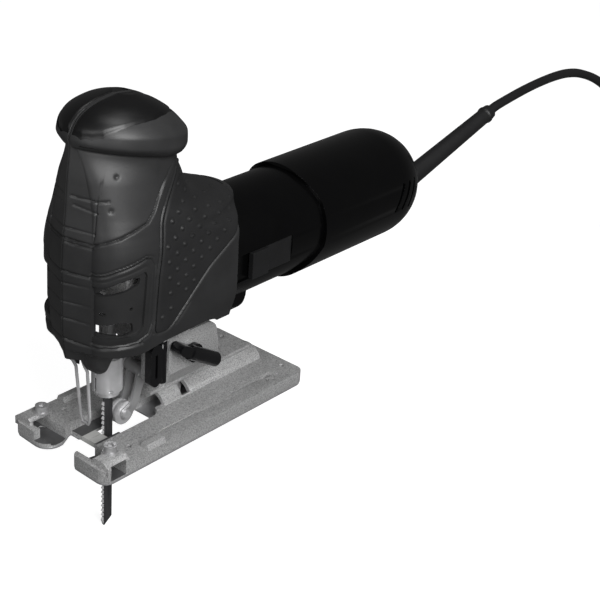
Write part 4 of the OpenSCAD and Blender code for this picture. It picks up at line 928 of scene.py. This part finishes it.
def make_vent_frames():
    # sunk a little, and more at the edge and along a line round the recess
    amount = np.full(len(FLAT), -0.3)
    amount += groove(np.clip(-TO_VENT, 0, None), 0.6, 0.35)
    amount += groove(np.abs(side_distance(BASE_P, RECESS) - 2.6), 0.5, 0.25)
    me = loft_solid(moved(BASE_P, BASE_N, amount))
    me = cut(me, prism(VENT, "x", CREASE_X, REACH), "INTERSECT")
    me = cut(me, inner(WALL), "DIFFERENCE")
    for outline in (SLOT_HI, SLOT_LO):
        me = cut(me, prism(round_outline(outline, 1.0, 4), "x", 2, REACH), "DIFFERENCE")
    for d, z in PIN_HOLES:
        me = cut(me, prism(circle(d, z, 0.9, 16), "x", 2, REACH), "DIFFERENCE")
    recess = cut(prism(round_outline(RECESS, 2.0, 5), "x", 2, REACH), inner(1.7), "DIFFERENCE")
    me = cut(me, recess, "DIFFERENCE")
    both_sides("vent_trim", me, "vent", "vent_frame_left", "vent_frame_right")


make_shells()
make_grip_panels()
make_knob_pads()
make_vent_frames()


# ------------------------------------------------------------------ rigid pieces with softened edges
SHARP = math.radians(35)  # edges that turn by more than this are rounded


def carve(me, tools):
    """Cuts the tools, in millimetres, out of a mesh in metres."""
    me.transform(Matrix.Translation((0, BASE_FRONT, 0)) @ Matrix.Scale(1000, 4))
    for tool in tools:
        me = cut(me, tool, "DIFFERENCE")
    me.transform(Matrix.Scale(0.001, 4) @ Matrix.Translation((0, -BASE_FRONT, 0)))
    return me


def soften(node, width, body, slot, tools=()):
    """A copy of a CAD piece, carved by the tools, whose outer edges are rounded over by width millimetres."""
    src = NODES[node]
    bm = bmesh.new()
    bm.from_mesh(src.data)
    bmesh.ops.remove_doubles(bm, verts=bm.verts, dist=2e-6)  # metres
    if tools:
        work = bpy.data.meshes.new("work_soft")
        bm.to_mesh(work)
        bm.free()
        before = len(work.polygons)
        work = carve(work, tools)
        assert len(work.polygons) > before
        bm = bmesh.new()
        bm.from_mesh(work)
        bpy.data.meshes.remove(work)
    bmesh.ops.dissolve_limit(bm, angle_limit=math.radians(0.6), verts=bm.verts, edges=bm.edges)
    weight = bm.edges.layers.float.new("bevel_weight_edge")
    for edge in bm.edges:
        if len(edge.link_faces) == 2 and edge.is_convex and edge.calc_face_angle() > SHARP:
            edge[weight] = 1.0
    me = bpy.data.meshes.new(node + "_finish")
    bm.to_mesh(me)
    bm.free()
    for mat in src.data.materials:
        me.materials.append(mat)
    o = bpy.data.objects.new(node + "_finish", me)
    scene.collection.objects.link(o)
    mod = o.modifiers.new("round", "BEVEL")
    mod.width = width / 1000
    mod.segments = 2
    mod.limit_method = "WEIGHT"
    dg = bpy.context.evaluated_depsgraph_get()
    done = bpy.data.meshes.new_from_object(o.evaluated_get(dg))
    o.modifiers.clear()
    o.data = done
    done.polygons.foreach_set("use_smooth", [True] * len(done.polygons))
    done.set_sharp_from_angle(angle=math.radians(20))
    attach(o, body)
    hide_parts(node)


# two engraved lines, a pocket, a hole in it and a smaller one behind it, on the left of the deck
ABOVE_DECK = 9.5
DECK_MARKS = [
    block(26.2, 27.0, 48, 76, 8.4, ABOVE_DECK),
    block(24.5, 25.3, 106, 128.6, 8.4, ABOVE_DECK),
    block(25.6, 31.8, 128.6, 136.2, 8.5, ABOVE_DECK),
    prism(circle(28.8, 132.4, 1.7, 24), "z", 5, ABOVE_DECK),
    prism(circle(29.1, 141.5, 0.9, 16), "z", 6, ABOVE_DECK)]
soften("base_plate", 0.45, "base", "base", tools=DECK_MARKS)
# node, width in millimetres, body, slot
SOFT = [
    ("sole_plate", 0.3, "base", "sole"),
    ("tilt_bracket", 0.3, "housing", "cast"), ("gear_housing", 0.4, "housing", "cast"),
    ("motor_housing", 0.35, "housing", "barrel"), ("rear_cover", 0.45, "housing", "cover"),
    ("switch_slider", 0.3, "switch", "lever"),
    ("release_lever", 0.3, "release_lever", "lever"), ("retainer_arm", 0.25, "guide_arm", "steel"),
    ("blade_clamp", 0.25, "plunger", "chrome"), ("fence_screws", 0.2, "base", "steel"),
    ("shell_screws", 0.2, "housing", "steel"),
]
for row in SOFT:
    soften(*row)


# ------------------------------------------------------------------ stage and light
FLOOR_HALF = 6.0    # metres
FLOOR_GAP = 0.0002  # metres under the lowest point


def make_stage():
    """A white floor that neither lights the tool nor shows in its gloss, and a faint white world."""
    me = bpy.data.meshes.new("floor")
    s = FLOOR_HALF
    me.from_pydata([(-s, -s, 0), (s, -s, 0), (s, s, 0), (-s, s, 0)], [], [(0, 1, 2, 3)])
    floor = bpy.data.objects.new("floor", me)
    floor.location.z = FLOOR_Z / 1000 - FLOOR_GAP
    scene.collection.objects.link(floor)
    mat, _, bsdf = new_material("floor_white", (0.45, 0.45, 0.45), 0.9, specular=0.0)
    bsdf.inputs["Emission Color"].default_value = (1, 1, 1, 1)
    bsdf.inputs["Emission Strength"].default_value = 0.85
    me.materials.append(mat)
    floor.visible_diffuse = False
    floor.visible_glossy = False
    world = bpy.data.worlds.new("world")
    scene.world = world
    world.use_nodes = True
    background = world.node_tree.nodes["Background"]
    background.inputs["Color"].default_value = (1, 1, 1, 1)
    background.inputs["Strength"].default_value = 0.10


def area_light(name, place, target, size, power):
    """Soft light at a place, turned to a target; metres and watts."""
    data = bpy.data.lights.new(name, "AREA")
    data.shape = "RECTANGLE"
    data.size, data.size_y = size
    data.energy = power
    o = bpy.data.objects.new(name, data)
    o.location = place
    o.rotation_euler = (Vector(target) - Vector(place)).to_track_quat("-Z", "Y").to_euler()
    scene.collection.objects.link(o)


scene.view_settings.view_transform = "Standard"  # the default one greys the white floor and the black plastic
make_stage()
area_light("key", (1.3, -0.5, 0.95), (0, 0.0, 0.1), (0.9, 1.0), 34)
area_light("front", (0.35, -1.5, 0.6), (0, 0.05, 0.05), (0.9, 0.9), 6)
area_light("top", (0.3, 0.0, 1.5), (0, 0.1, 0.05), (0.5, 0.5), 4)
